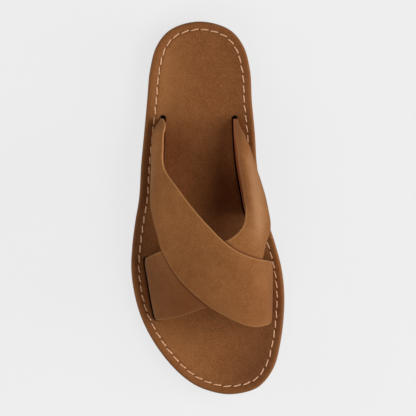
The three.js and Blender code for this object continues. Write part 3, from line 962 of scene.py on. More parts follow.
@dataclass(frozen=True)
class CutEdge:
    """The fibrous cut side of leather, lighter than its face."""

    name: str
    light: Colour
    dark: Colour
    fibre_size: float = 0.5 * MM
    fibre_depth: float = 0.12 * MM
    fibre_squeeze: float = 0.35

    def build(self) -> bpy.types.Material:
        """Makes the material."""
        graph = Graph(self.name)
        upright = graph.stretched((1.0, 1.0, self.fibre_squeeze))
        fibres = graph.noise(self.fibre_size, 4.0, 0.7, upright)
        base = graph.mix(graph.between(fibres, 0.3, 0.7), self.dark, self.light)
        relief = graph.bump(fibres, self.fibre_depth)
        return graph.surface(
            {"Base Color": base, "Roughness": 0.82, "Specular IOR Level": 0.3, "Normal": relief}
        )


@dataclass(frozen=True)
class Thread:
    """Waxed thread, light tan, with painted shade where it goes down into the leather."""

    name: str
    light: Colour
    dark: Colour
    fibre_size: float = 0.3 * MM
    fibre_depth: float = 0.05 * MM

    def build(self) -> bpy.types.Material:
        """Makes the material. It reads the mesh's number of painted shade, which is highest where the thread
        goes down.
        """
        graph = Graph(self.name)
        fibres = graph.noise(self.fibre_size, 3.0, 0.6)
        base = graph.mix(graph.between(fibres, 0.3, 0.7, 0.0, 0.45), self.light, self.dark)
        # Painted shade on the thread where it dips into its hole.
        base = graph.mix(graph.attribute("pressed_and_shaded"), base, self.dark)
        relief = graph.bump(fibres, self.fibre_depth)
        return graph.surface({"Base Color": base, "Roughness": 0.6, "Normal": relief})


@dataclass(frozen=True)
class Rubber:
    """Moulded rubber with a fine eroded texture and a little dust."""

    name: str
    fresh: Colour
    dusty: Colour
    grain_size: float = 0.5 * MM
    grain_depth: float = 0.08 * MM
    cloud_size: float = 18 * MM

    def build(self) -> bpy.types.Material:
        """Makes the material."""
        graph = Graph(self.name)
        grain = graph.noise(self.grain_size, 3.0, 0.65)
        clouds = graph.between(graph.noise(self.cloud_size, 5.0, 0.65), 0.4, 0.75)
        base = graph.mix(graph.times(clouds, 0.5), self.fresh, self.dusty)
        return graph.surface(
            {
                "Base Color": base,
                "Roughness": graph.between(clouds, 0.0, 1.0, 0.55, 0.75),
                "Specular IOR Level": 0.4,
                "Normal": graph.bump(grain, self.grain_depth),
            }
        )


class Finish(Enum):
    """Every finish of the sandal."""

    STRAP = Nubuck(
        "strap_nubuck",
        light=colour(149, 94, 47),
        middle=colour(136, 84, 39),
        dark=colour(119, 69, 30),
        # Pale colour of the painted highlight along the strap's edges.
        rim=colour(182, 130, 78),
        # Dark colour of grain and painted shade, then pale colour of grain and painted light.
        pressed_and_shaded=colour(96, 46, 13),
        pale_and_highlight=colour(204, 156, 114),
        mottle=0.13,
        sheen=0.13,
    )
    FOOTBED = Nubuck(
        "footbed_nubuck",
        light=colour(140, 85, 42),
        middle=colour(131, 77, 35),
        dark=colour(115, 65, 27),
        rim=colour(124, 72, 33),
        # Dark colour of grain and painted shade, then pale colour of grain and painted light.
        pressed_and_shaded=colour(80, 44, 17),
        pale_and_highlight=colour(166, 112, 64),
        mottle=0.36,
        sheen=0.2,
        nap_turn=-0.2,
    )
    LINING = Lining("strap_lining", light=colour(188, 110, 64), dark=colour(158, 86, 48))
    EDGE = CutEdge("cut_leather", light=colour(182, 126, 76), dark=colour(146, 92, 50))
    SIDE = CutEdge("footbed_side", light=colour(150, 92, 48), dark=colour(112, 62, 28))
    # Near-black painted shade on the walls inside the slots.
    SLOT_SHADE = CutEdge("shaded_slot_wall", light=colour(44, 26, 14), dark=colour(24, 14, 8))
    THREAD = Thread("waxed_thread", light=colour(230, 178, 136), dark=colour(164, 112, 70))
    RUBBER = Rubber("sole_rubber", fresh=colour(56, 42, 33), dusty=colour(84, 68, 54))

    def material(self) -> bpy.types.Material:
        """The material of this finish, made once."""
        return bpy.data.materials.get(self.value.name) or self.value.build()


class Side(Enum):
    """A side of the foot."""

    OUTER = 0
    INNER = 1


@dataclass(frozen=True)
class Stroke:
    """A soft-edged stroke laid on the leather.

    Its places on the footbed are shares of the ball's width and stations. On a strap they are shares along it
    and across it, from its rear edge to its front one.
    """

    start: tuple[float, float]
    end: tuple[float, float]
    width: float
    amount: float

    def laid(self, places: Array, scale: Array) -> Array:
        """How much of the stroke each place takes.

        Args:
            places: places in the stroke's own shares.
            scale: how many metres one share of each kind is, for each place or for all.

        Returns:
            The stroke's amount along its line, fading to nothing beside it.
        """
        line = (np.array(self.end) - self.start) * scale
        offset = (places - self.start) * scale
        share = (offset * line).sum(-1) / np.maximum((line**2).sum(-1), TINY)
        away = np.linalg.norm(offset - np.clip(share, 0, 1)[..., None] * line, axis=-1)
        return self.amount * bell(away, self.width)


class Fold(Stroke):
    """A soft trough whose amount is its depth in metres, or a ridge if that is negative."""


class LightPatch(Stroke):
    """A patch of painted light on the leather, or of painted shade if its amount is negative."""


def mark_light_patches(
    mesh: bpy.types.Mesh,
    places: Array,
    scale: Array,
    light_patches: Sequence[LightPatch],
    pale: Array | float,
    dark: Array,
) -> None:
    """Gives a leather mesh its patches of painted light and painted shade.

    Args:
        mesh: the mesh.
        places: for each point, its place in the tones' own shares.
        scale: how many metres one share of each kind is.
        light_patches: the patches.
        pale: how much painted highlight each point already has, from 0 to 1.
        dark: how much painted shade each point already has, from 0 to 1.
    """
    level = sum(tone.laid(places, scale) for tone in light_patches)
    # Painted light goes on the first number, painted shade on the second.
    mark(mesh, "pale_and_highlight", np.clip(np.maximum(level, 0) + pale, 0, 1))
    mark(mesh, "pressed_and_shaded", np.clip(np.maximum(-level, 0) + dark, 0, 1))


@dataclass
class Slot:
    """One slot of the footbed, with its pocket in the outsole, that a strap's end goes down."""

    foot: FootForm
    side: Side
    rear: float
    front: float
    play_under: float = 0.7 * MM
    play_over: float = 0.5 * MM
    end_room: float = 1.9 * MM
    wall: float = STRAP_WALL
    tail_depth: float = TAIL_DEPTH
    cutter_height: float = 8 * MM
    steps: int = 36
    end_steps: int = 10

    @property
    def half_width(self) -> float:
        """Half of the slot's width."""
        return (self.wall + self.play_under + self.play_over) / 2

    def centre(self, stations: Array) -> tuple[Array, Array]:
        """Points along the slot's middle, and the direction out of the foot at each."""
        side = np.full_like(stations, float(self.side.value))
        normal = self.foot.off(side, stations)
        flat = unit(normal * (1.0, 1.0, 0.0))
        depth = (self.wall + self.play_under - self.play_over) / 2
        return self.foot.place(side, stations) - normal * depth, flat

    def stations(self) -> Array:
        """Stations of the slot's middle line, whose round ends leave the strap its room."""
        draw = (self.half_width - self.end_room) / self.foot.sole.length
        return np.linspace(self.rear + draw, self.front - draw, self.steps)

    def middle(self) -> Array:
        """The slot's middle line in plan."""
        return self.centre(self.stations())[0][:, :2]

    def outline(self) -> Array:
        """The slot's outline in plan, with round ends, turning the same way on both sides of the foot."""
        line, normal = self.centre(self.stations())
        line, normal = line[:, :2], normal[:, :2]
        angles = np.linspace(0, math.pi, self.end_steps + 1)[1:-1]

        def end(place: Array, across: Array, ahead: Array) -> Array:
            """The points round one end."""
            turn = np.cos(angles)[:, None] * across + np.sin(angles)[:, None] * ahead
            return place + turn * self.half_width

        ahead = unit(line[-1] - line[-2])
        behind = unit(line[0] - line[1])
        one = line + normal * self.half_width
        other = line[::-1] - normal[::-1] * self.half_width
        ring = np.vstack([one, end(line[-1], normal[-1], ahead), other, end(line[0], -normal[0], behind)])
        return ring[::-1] if self.side is Side.INNER else ring

    def cutter(self, name: str) -> bpy.types.Object:
        """An upright closed block of the slot's outline."""
        flat = self.outline()
        sole = self.foot.sole
        station = sole.station_at(flat[:, 1])
        roof = sole.dish(station) + self.cutter_height
        floor = sole.rubber_top(station) - self.tail_depth
        build = MeshBuild()
        rings = np.stack([np.column_stack([flat, height]) for height in (floor, roof)])
        first = build.loft(rings, closed_rings=False)
        build.cap_ends(first, len(flat), first + len(flat))
        return build.finish(name, [])


@dataclass
class Stitching:
    """The row of stitches: one short twisted thread for each, dipping into a hole at both ends."""

    path: StitchPath
    surface: Callable[[Array, Array], Array]
    thickness: float = 1.12 * MM
    reach: float = 0.84
    crown: float = 0.42 * MM
    dip: float = 0.8 * MM
    slant: float = 0.34 * MM
    sides: int = 12
    segments: int = 26
    twists: float = 2.6
    ply_relief: float = 0.14
    end_squeeze: float = 0.35
    sway: float = 0.7
    sharp: float = 60.0

    def centre_line(self, number: int) -> tuple[Array, Array]:
        """The middle of one thread and how far down it goes at each place.

        Args:
            number: which stitch, counted from the heel tip.

        Returns:
            The points, and numbers from 0 on top to 1 where it goes down.
        """
        per = self.path.points_per_stitch
        size = len(self.path.point)
        share = np.linspace(-0.5, 0.5, self.segments)
        index = (number + 0.5 + share * self.reach) * per
        order = np.arange(size + 1)

        def along(values: Array) -> Array:
            """Values of the path beside the thread."""
            ring = np.concatenate([values, values[:1]])
            return np.interp(index % size, order, ring)

        out = unit(np.column_stack([along(self.path.outward[:, k]) for k in range(2)]))
        edge = np.column_stack([along(self.path.point[:, k]) for k in range(2)])
        sway = 1 + self.sway * math.sin(2.4 * number) * math.cos(0.9 * number)
        inset = along(self.path.inset) + self.slant * 2 * share * sway
        flat = edge - out * inset[:, None]
        pressed_and_shaded = np.abs(2 * share) ** 5
        height = self.surface(flat, inset) + self.crown - (self.dip + self.crown) * pressed_and_shaded
        return np.column_stack([flat, height]), pressed_and_shaded

    def thread(self, number: int) -> tuple[Array, Array]:
        """Rings of points round one thread, and how far down each ring goes, which also sets its painted
        shade.
        """
        line, pressed_and_shaded = self.centre_line(number)
        ahead = unit(np.gradient(line, axis=0))
        side = unit(np.cross(ahead, (0.0, 0.0, 1.0)))
        up = np.cross(side, ahead)
        angle = np.linspace(0, 2 * math.pi, self.sides, endpoint=False)
        twist = np.linspace(0, self.twists * math.pi, self.segments)[:, None]
        radius = self.thickness / 2 * (1 + self.ply_relief * np.cos(2 * angle - 2 * twist))
        radius = radius * (1 - self.end_squeeze * pressed_and_shaded[:, None])
        sideways, upwards = np.cos(angle)[None, :, None], np.sin(angle)[None, :, None]
        ring = sideways * side[:, None] + upwards * up[:, None]
        return line[:, None] + ring * radius[..., None], pressed_and_shaded

    def mesh(self) -> bpy.types.Object:
        """All threads as one joined mesh."""
        build = MeshBuild()
        marks = []
        for number in range(self.path.count):
            rings, pressed_and_shaded = self.thread(number)
            first = build.loft(rings, closed_rings=False)
            build.cap_ends(first, self.sides, first + (self.segments - 1) * self.sides)
            marks.append(np.repeat(pressed_and_shaded, self.sides))
        made = build.finish("footbed_stitching", [Finish.THREAD.material()], self.sharp)
        # Painted shade on each thread, deepest where it goes down into the leather.
        mark(made.data, "pressed_and_shaded", np.concatenate(marks) ** 2)
        return made

    def dress(self) -> bpy.types.Object:
        """The stitches in place on the sandal."""
        made = self.mesh()
        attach(made, "root")
        return made


@dataclass
class Footbed:
    """The leather insole: rolled rim, sewn channel with needle holes, dish and four slots."""

    form: SoleForm
    path: StitchPath
    slots: Sequence[Slot]
    rim_rise: float = 2.4 * MM
    rim_width: float = 18 * MM
    rim_round: float = 1.0 * MM
    bowl: float = 1.6 * MM
    bowl_width: float = 45 * MM
    channel_depth: float = 0.5 * MM
    channel_width: float = 1.1 * MM
    sag_depth: float = 0.35 * MM
    sag_width: float = 2.6 * MM
    sag_shift: float = 0.2 * MM
    hole_depth: float = 0.3 * MM
    hole_length: float = 0.85 * MM
    hole_width: float = 0.55 * MM
    pucker_inside: float = 0.14 * MM
    pucker_outside: float = 0.10 * MM
    pucker_away: float = 2.0 * MM
    pucker_width: float = 1.1 * MM
    pucker_length: float = 2.0 * MM
    seat_depth: float = 0.35 * MM
    seat_width: float = 1.2 * MM
    band_tone: float = 0.4
    band_start: float = 1.4 * MM
    band_end: float = 0.2 * MM
    # Painted shade in the stitch channel, round the slots and in the needle holes.
    channel_tone: float = 0.2
    channel_shade: float = 0.9 * MM
    slot_tone: float = 0.7
    slot_shade: float = 0.5 * MM
    hole_tone: float = 0.15
    hole_shade_width: float = 0.7 * MM
    hole_shade_length: float = 1.0 * MM
    # Painted highlight along the outer edge, stronger on the inner side.
    edge_highlight: float = 0.3
    edge_highlight_inner: float = 0.6
    edge_width: float = 0.8 * MM
    edge_samples: int = 1400
    top_start: float = 0.4
    side_start: float = 0.1
    side_slope: float = 0.4
    wall_room: float = 0.15 * MM
    cross_faces: int = 44
    under_faces: int = 4
    sharp: float = 38.0

    def insets(self) -> Array:
        """Insets of the rings from the edge inwards, finer by the edge and the stitches."""
        edge = [0.0, 0.12, 0.3, 0.55, 0.9, 1.4, 2.0, 2.7, 3.4, 4.0]
        sewn = np.arange(4.4, 8.7, 0.3)
        dish = [9.2, 10.0, 11.0, 12.2, 13.5, 15.0, 16.5, 18.0]
        return np.concatenate([edge, sewn, dish]) * MM

    def top(self, flat: Array, inset: Array, index: Array | None = None) -> Array:
        """Height of the leather.

        Args:
            flat: x and y of each place.
            inset: how far each lies inside the edge.
            index: the number of the path's point beside each place, to press the holes in.

        Returns:
            The heights above the floor.
        """
        station = self.form.station_at(flat[..., 1])
        rise = self.rim_rise * table_column(RIM, "rise")(inset / self.rim_width)
        if index is None:
            sewn = self.path.inset_at(flat.reshape(-1, 2)).reshape(inset.shape)
        else:
            sewn = self.path.inset[index]
        away = inset - sewn
        rise = rise - self.channel_depth * bell(away, self.channel_width)
        rise = rise - self.sag_depth * bell(away + self.sag_shift, self.sag_width)
        if index is not None:
            per = self.path.points_per_stitch
            from_hole = (index % per).astype(float)
            from_hole = np.minimum(from_hole, per - from_hole) * self.path.pitch / per
            hole = bell(away, self.hole_width) * bell(from_hole, self.hole_length)
            swell = 1 - 2 * bell(from_hole, self.pucker_length)
            inside = self.pucker_inside * bell(away - self.pucker_away, self.pucker_width)
            outside = self.pucker_outside * bell(away + self.pucker_away, self.pucker_width)
            rise = rise - self.hole_depth * hole + (inside + outside) * swell
        return self.form.dish(station) + rise - self.bowl_at(inset)

    def bowl_at(self, inset: Array) -> Array:
        """How far the bowl across the footbed lowers the leather at each inset from the edge."""
        share = 1 - np.clip(inset / self.bowl_width, 0, 1)
        return self.bowl * (1 - share**2)

    def from_edge(self, flat: Array) -> Array:
        """How far inside the footbed's edge each place in plan lies."""
        return nearest(flat, self.form.edge(self.edge_samples)[0], closed=True)[0]

    def near_slot(self, flat: Array) -> Array:
        """Distance of each place in plan from the nearest slot's outline."""
        away = [nearest(flat, slot.middle(), closed=False)[0] - slot.half_width for slot in self.slots]
        return np.min(away, axis=0)

    def wear(self, flat: Array) -> Array:
        """Soft hollows that heel and ball of a foot leave in the dish."""
        hollow = np.zeros(len(flat))
        for row in WEAR:
            middle = (row.across * self.form.ball_width, self.form.y_at(row.station))
            offset = (flat - middle) / (row.half_width, row.half_length)
            hollow += row.depth * np.exp(-(offset**2).sum(1))
        return hollow

    def blank(self) -> bpy.types.Object:
        """The footbed without its slots."""
        path, form = self.path, self.form
        index = np.arange(len(path.point))
        rings = []
        for row in FOOTBED_SIDE:
            flat = path.point - path.outward * (row.inset * self.rim_round)
            height = form.dish(form.station_at(flat[:, 1])) - row.depth * form.footbed_thickness
            rings.append(np.column_stack([flat, height]))
        start = self.top_start * self.rim_round
        for inset in self.insets():
            flat = path.point - path.outward * (start + inset * (1 - start / self.rim_width))
            height = self.top(flat, np.full(len(flat), inset), index)
            rings.append(np.column_stack([flat, height]))
        build = MeshBuild()
        first = build.loft(np.stack(rings), closed_rings=False)
        last = first + (len(rings) - 1) * len(index)

        def dish(points: Array) -> Array:
            """Height of the dish inside the rim."""
            inset = self.from_edge(points[..., :2].reshape(-1, 2)).reshape(points.shape[:-1])
            return form.dish(form.station_at(points[..., 1])) - self.bowl_at(inset)

        def underside(points: Array) -> Array:
            """Height of the footbed's underside."""
            return form.dish(form.station_at(points[..., 1])) - form.footbed_thickness

        build.strips(last, rings[-1], self.cross_faces, dish, upward=True)
        build.strips(first, rings[0], self.under_faces, underside, upward=False)
        finishes = (Finish.FOOTBED, Finish.SIDE, Finish.SLOT_SHADE)
        made = build.finish("footbed_leather", [finish.material() for finish in finishes])
        points = vectors_of(made.data.vertices, "co")
        flat = points[:, :2]
        level = form.dish(form.station_at(flat[:, 1]))
        upper = points[:, 2] > level - self.bowl - self.side_start * form.footbed_thickness
        seat = self.seat_depth * bell(np.maximum(self.near_slot(flat), 0), self.seat_width)
        points[:, 2] -= np.where(upper, seat + self.wear(flat), 0)
        made.data.vertices.foreach_set("co", points.reshape(-1))
        return made

    def mesh(self) -> bpy.types.Object:
        """The footbed with its slots, painted light and shade, and finishes."""
        cutters = [slot.cutter(f"slot_{number}") for number, slot in enumerate(self.slots)]
        made = cut(self.blank(), cutters, self.sharp)
        self.mark_leather(made.data)
        self.name_sides(made.data)
        return made

    def mark_leather(self, mesh: bpy.types.Mesh) -> None:
        """Marks the outer band, painted shade in the channel, the needle holes and round the slots, and a
        painted highlight along the edge, stronger on the inner side that faces the lamps.
        """
        flat = vectors_of(mesh.vertices, "co")[:, :2]
        across, station = flat[:, 0] / self.form.ball_width, self.form.station_at(flat[:, 1])
        inset = self.from_edge(flat)
        away = inset - self.path.inset_at(flat)
        mark(mesh, "rim", self.band_tone * (1 - smoothstep(away, -self.band_start, -self.band_end)))
        # Painted shade in the stitch channel, round the slots and in the needle holes.
        dark = self.channel_tone * bell(away, self.channel_shade)
        dark += self.slot_tone * bell(np.maximum(self.near_slot(flat), 0), self.slot_shade)
        dark += self.hole_tone * self.hole_shade(flat, away)
        # Painted highlight along the outer edge, stronger on the inner side, which faces the lamps.
        inner_side = smoothstep(across + 1.5 * np.maximum(station - 0.8, 0), 0.05, 0.3)
        pale = (self.edge_highlight + self.edge_highlight_inner * inner_side) * bell(inset, self.edge_width)
        scale = np.array([self.form.ball_width, self.form.length])
        places = np.column_stack([across, station])
        mark_light_patches(mesh, places, scale, FOOTBED_TONES, pale, np.clip(dark, 0, 1))

    def name_sides(self, mesh: bpy.types.Mesh) -> None:
        """Gives the footbed's side its own finish, and the walls of its slots a near-black finish of painted
        shade.
        """
        centres = vectors_of(mesh.polygons, "center")
        rise = vectors_of(mesh.polygons, "normal")[:, 2]
        level = self.form.dish(self.form.station_at(centres[:, 1]))
        below = centres[:, 2] < level - self.side_start * self.form.footbed_thickness
        low = (rise < self.side_slope) & below
        beside_slot = np.abs(self.near_slot(centres[:, :2])) < self.wall_room
        # Faces of the slot walls, which take the near-black painted shade.
        shaded_slot_wall = (np.abs(rise) < self.side_slope) & beside_slot
        mesh.polygons.foreach_set("material_index", np.where(shaded_slot_wall, 2, low).astype(np.int32))

    def hole_shade(self, flat: Array, away: Array) -> Array:
        """How much painted shade each place gets because it lies in a needle hole."""
        per = self.path.points_per_stitch
        holes = (self.path.point - self.path.outward * self.path.inset[:, None])[::per]
        _, place = nearest(flat, holes, closed=True)
        from_hole = np.abs(place - np.round(place)) * self.path.pitch
        return bell(away, self.hole_shade_width) * bell(from_hole, self.hole_shade_length)

    def dress(self) -> bpy.types.Object:
        """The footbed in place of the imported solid."""
        made = self.mesh()
        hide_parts("footbed")
        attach(made, "root")
        return made


@dataclass
class Outsole:
    """The moulded rubber unit: stepped side, heel, waist, toe spring, pockets and tread."""

    form: SoleForm
    path: StitchPath
    slots: Sequence[Slot]
    setback: float = 0.7 * MM
    step: float = 1.5 * MM
    tread_depth: float = 2.4 * MM
    tread_width: float = 3.2 * MM
    tread_pitch: float = 11.5 * MM
    tread_radius: float = 95 * MM
    groove_reach: float = 0.6
    groove_taper: float = 0.8
    groove_steps: int = 28
    cutter_drop: float = 4 * MM
    corner_share: float = 0.12
    cross_faces: int = 6
    thinning: int = 3
    sharp: float = 30.0

    def blank(self) -> bpy.types.Object:
        """The outsole without pockets and tread."""
        point, outward = self.path.point[:: self.thinning], self.path.outward[:: self.thinning]

        def between(share: float) -> Heights:
            """A level of the rubber, from the underside at 0 to the top at 1."""

            def height(points: Array) -> Array:
                """Height at each point."""
                station = self.form.station_at(points[..., 1])
                low = self.form.underside(station)
                return low + share * (self.form.rubber_top(station) - low)

            return height

        rings = []
        for inset, share in self.side():
            flat = point - outward * (self.setback + inset * self.step)
            rings.append(np.column_stack([flat, between(share)(flat)]))
        build = MeshBuild()
        first = build.loft(np.stack(rings), closed_rings=False)
        last = first + (len(rings) - 1) * len(point)
        build.strips(first, rings[0], self.cross_faces, between(0.0), upward=False)
        build.strips(last, rings[-1], self.cross_faces, between(1.0), upward=True)
        return build.finish("sole_rubber", [Finish.RUBBER.material()])

    def side(self) -> list[tuple[float, float]]:
        """The side's section with its corners eased."""
        rows = np.array(OUTSOLE_SIDE)
        eased = [rows[0]]
        for before, here, after in zip(rows[:-2], rows[1:-1], rows[2:]):
            eased += [here + self.corner_share * (beside - here) for beside in (before, after)]
        return [tuple(row) for row in (*eased, rows[-1])]

    def tread_cutter(self, name: str, station: float) -> bpy.types.Object:
        """The curved bar that cuts one groove across the underside."""
        reach = math.asin(min(1.0, self.groove_reach * self.form.ball_width / self.tread_radius))
        angle = np.linspace(-math.pi / 2 - reach, -math.pi / 2 + reach, self.groove_steps)
        middle = float(self.form.y_at(station)) + self.tread_radius
        roof = float(self.form.underside(station)) + self.tread_depth
        half, narrow = self.tread_width / 2, self.tread_width / 2 * self.groove_taper
        section = ((-half, -self.cutter_drop), (half, -self.cutter_drop), (narrow, roof), (-narrow, roof))
        rings = [
            np.column_stack([
                (self.tread_radius + out) * np.cos(angle),
                middle + (self.tread_radius + out) * np.sin(angle),
                np.full(self.groove_steps, height),
            ])
            for out, height in section
        ]
        build = MeshBuild()
        first = build.loft(np.stack(rings, axis=1), closed_rings=False)
        build.cap_ends(first, len(section), first + (self.groove_steps - 1) * len(section))
        return build.finish(name, [])

    def mesh(self) -> bpy.types.Object:
        """The outsole with pockets and tread."""
        pitch = self.tread_pitch / self.form.length
        cutters = [slot.cutter(f"pocket_{number}") for number, slot in enumerate(self.slots)]
        for zone in TREAD_ZONES:
            for number in range(int((zone.end - zone.start) / pitch) + 1):
                station = zone.start + number * pitch
                cutters.append(self.tread_cutter(f"tread_{len(cutters)}", station))
        return cut(self.blank(), cutters, self.sharp)

    def dress(self) -> bpy.types.Object:
        """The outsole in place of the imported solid."""
        made = self.mesh()
        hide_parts("outsole")
        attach(made, "root")
        return made


@dataclass
class Strap:
    """One wide leather strap, from slot to slot over the foot form, with its lining."""

    name: str
    rows: Sequence[StrapRow]
    foot: FootForm
    folds: Sequence[Fold]
    light_patches: Sequence[LightPatch]
    over: "Strap | None" = None
    beneath: "Strap | None" = None
    wall: float = STRAP_WALL
    bond: float = 0.8 * MM
    climb: float = 13 * MM
    tail_depth: float = TAIL_DEPTH
    corner: float = 0.95 * MM
    lining_corner: float = 0.5 * MM
    edge_roll: float = 0.45 * MM
    edge_reach: float = 3.2 * MM
    # Painted shadow on this strap beside the edges of the strap over it.
    contact_shadow_width: float = 2.2 * MM
    contact_shadow_start: float = 0.2 * MM
    contact_shadow_tone: float = 0.85
    # Painted shade on the strap's lowest part, where it goes down into its slot.
    base_shade_height: float = 3.0 * MM
    base_shade_tone: float = 0.35
    # Painted highlight along the strap's edges, only where the strap stands well above the footbed.
    hem_highlight_start: float = 6 * MM
    hem_highlight_end: float = 20 * MM
    hem_highlight_width: float = 0.8 * MM
    hem_highlight_tone: float = 0.8
    tail_rings: int = 4
    rungs: int = 230
    rung_steps: int = 24
    outline_steps: int = 72
    corner_steps: int = 6
    face_columns: int = 66
    lining_columns: int = 30
    girth: float = 0.159
    sharp: float = 50.0

    def edges(self, shares: Array) -> tuple[Array, Array]:
        """Both edges of the strap as rows of around and station."""
        rear = np.array([(row.rear_around, row.rear_station) for row in self.rows])
        front = np.array([(row.front_around, row.front_station) for row in self.rows])
        return through(rear, shares), through(front, shares)

    def depth_inside(self, around: Array, station: Array) -> Array:
        """How far each place of the form lies inside the strap, laid flat; negative outside it."""
        rear, front = self.edges(np.linspace(0, 1, self.outline_steps + 1))
        scale = np.array([self.girth, self.foot.sole.length])
        line = np.vstack([rear, front[::-1]]) * scale
        place = np.column_stack([around.ravel(), station.ravel()]) * scale
        away, _ = nearest(place, line, closed=True)
        inside = np.zeros(len(place), bool)
        for a, b in zip(line, np.roll(line, -1, axis=0)):
            spans = (a[1] > place[:, 1]) != (b[1] > place[:, 1])
            rise = b[1] - a[1] if b[1] != a[1] else TINY
            reach = a[0] + (b[0] - a[0]) * (place[:, 1] - a[1]) / rise
            inside ^= spans & (place[:, 0] < reach)
        return np.where(inside, away, -away).reshape(around.shape)

    def section(self) -> Array:
        """The loop of points round the strap's cross-section.

        Returns:
            A row for each point: 1 in a hem or 0 between the hems, its share of the width there, how far past
            that share it lies in metres, its height from the middle of the wall, and its material's number.
        """

        def rounded(size: float, angle: float) -> tuple[float, float]:
            """How far a place of a rounded corner lies from the hem's edge and from the face."""
            return size * (1 - math.cos(angle)), size * (1 - math.sin(angle))

        half = self.wall / 2
        turn = np.linspace(0, math.pi / 2, self.corner_steps + 1)
        lining_corner = [rounded(self.lining_corner, angle) for angle in turn[::-2]]
        face_corner = [rounded(self.corner, angle) for angle in turn]
        hem = [(inset, depth - half, 2) for inset, depth in lining_corner]
        hem += [(0.0, 0.0, 1)]
        hem += [(inset, half - depth, 0) for inset, depth in face_corner]
        rear = [(1, 0.0, inset, height, material) for inset, height, material in hem]
        front = [(1, 1.0, -inset, height, material) for inset, height, material in reversed(hem)]
        face = [(0, share, 0.0, half, 0) for share in np.linspace(0, 1, self.face_columns + 2)[1:-1]]
        lining = [(0, share, 0.0, -half, 2) for share in np.linspace(1, 0, self.lining_columns + 2)[1:-1]]
        return np.array(rear + face + front + lining)

    def pressing(self, along: Array, across: Array, width: Array, length: float) -> Array:
        """How deep the folds press the strap at each place."""
        places = np.stack([np.broadcast_to(along, across.shape), across], axis=-1)
        scale = np.stack([np.full(across.shape, length), np.broadcast_to(width, across.shape)], axis=-1)
        return sum(fold.laid(places, scale) for fold in self.folds)

    def rings(self) -> tuple[Array, Array, Array, float, float]:
        """Rings of points along the strap.

        Returns:
            The points, how far each lies from the nearest edge, its share across, and the strap's length and
            width.
        """
        shares = np.linspace(0, 1, self.rungs + 1)
        rear, front = self.edges(shares)
        steps = np.linspace(0, 1, self.rung_steps + 1)[:, None, None]
        ladder = rear[None] * (1 - steps) + front[None] * steps
        places = self.foot.place(ladder[..., 0], ladder[..., 1])
        width = np.linalg.norm(np.diff(places, axis=0), axis=2).sum(0)[:, None]
        spine = self.foot.place((rear + front)[:, 0] / 2, (rear + front)[:, 1] / 2)
        length = float(travelled(spine)[-1])
        in_hem, share, past, height, _ = self.section().T
        hem = self.corner / width
        across = np.where(in_hem > 0, share + past / width, hem + share * (1 - 2 * hem))
        at = rear[:, None] * (1 - across[..., None]) + front[:, None] * across[..., None]
        around, station = at[..., 0], at[..., 1]
        surface, normal = self.foot.place(around, station), self.foot.off(around, station)
        edge = np.minimum(across, 1 - across) * width
        lift = np.zeros(around.shape)
        if self.over is not None:
            covered = self.over.depth_inside(around, station)
            lift = (self.wall - self.bond) * smoothstep(covered, -self.climb, 0)
        outer = np.clip(height / (self.wall / 2), 0, 1)
        roll = self.edge_roll * bell(edge, self.edge_reach) * outer
        press = self.pressing(shares[:, None], across, width, length)
        level = lift - self.wall / 2 + height - roll - press
        return surface + normal * level[..., None], edge, across, length, float(np.median(width))

    def contact_shade(self, across: Array, along: Array) -> Array:
        """How much painted shadow each place gets beside the edges of the strap that lies on this one."""
        rear, front = self.edges(along.reshape(-1))
        at = rear + (front - rear) * across.reshape(-1)[:, None]
        depth = self.beneath.depth_inside(at[:, 0], at[:, 1]).reshape(across.shape)
        return self.contact_shadow_tone * smoothstep(depth, -self.contact_shadow_width, -self.contact_shadow_start)

    def mesh(self) -> bpy.types.Object:
        """The strap with both ends going straight down their slots."""
        rings, edge, across, length, width = self.rings()
        along = np.broadcast_to(np.linspace(0, 1, len(rings))[:, None], edge.shape)
        down = np.zeros((self.tail_rings, 1, 3))
        down[:, 0, 2] = np.linspace(1, 0, self.tail_rings, endpoint=False)
        down *= self.foot.sole.footbed_thickness + self.tail_depth
        rings = np.concatenate([rings[:1] - down, rings, rings[-1:] - down[::-1]])[:, ::-1]
        edge, across, along = (
            np.pad(grid, ((self.tail_rings, self.tail_rings), (0, 0)), "edge")[:, ::-1]
            for grid in (edge, across, along)
        )
        count, size = rings.shape[:2]
        build = MeshBuild()
        first = build.loft(rings, closed_rings=False, slot=self.section()[::-1, -1])
        build.cap_ends(first, size, first + (count - 1) * size, slot=1)
        finishes = (Finish.STRAP, Finish.EDGE, Finish.LINING)
        made = build.finish(self.name, [finish.material() for finish in finishes], self.sharp)
        station = self.foot.sole.station_at(rings[..., 1])
        above = rings[..., 2] - self.foot.sole.dish(station)
        # Painted highlight along the edges, fading in with height above the footbed.
        free = smoothstep(above, self.hem_highlight_start, self.hem_highlight_end)
        mark(made.data, "rim", (self.hem_highlight_tone * free * bell(edge, self.hem_highlight_width)).reshape(-1))
        # Painted shade on the strap's lowest part, fading out with height above the footbed.
        dark = self.base_shade_tone * (1 - smoothstep(above, 0.0, self.base_shade_height))
        # Painted shadow beside the edges of the strap that lies on this one.
        if self.beneath is not None:
            dark = np.maximum(dark, self.contact_shade(across, along))
        places = np.stack([along, across], axis=-1).reshape(-1, 2)
        mark_light_patches(made.data, places, np.array([length, width]), self.light_patches, 0.0, dark.reshape(-1))
        return made

    def dress(self) -> bpy.types.Object:
        """The strap in place on the sandal."""
        made = self.mesh()
        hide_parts("upper")
        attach(made, "root")
        return made


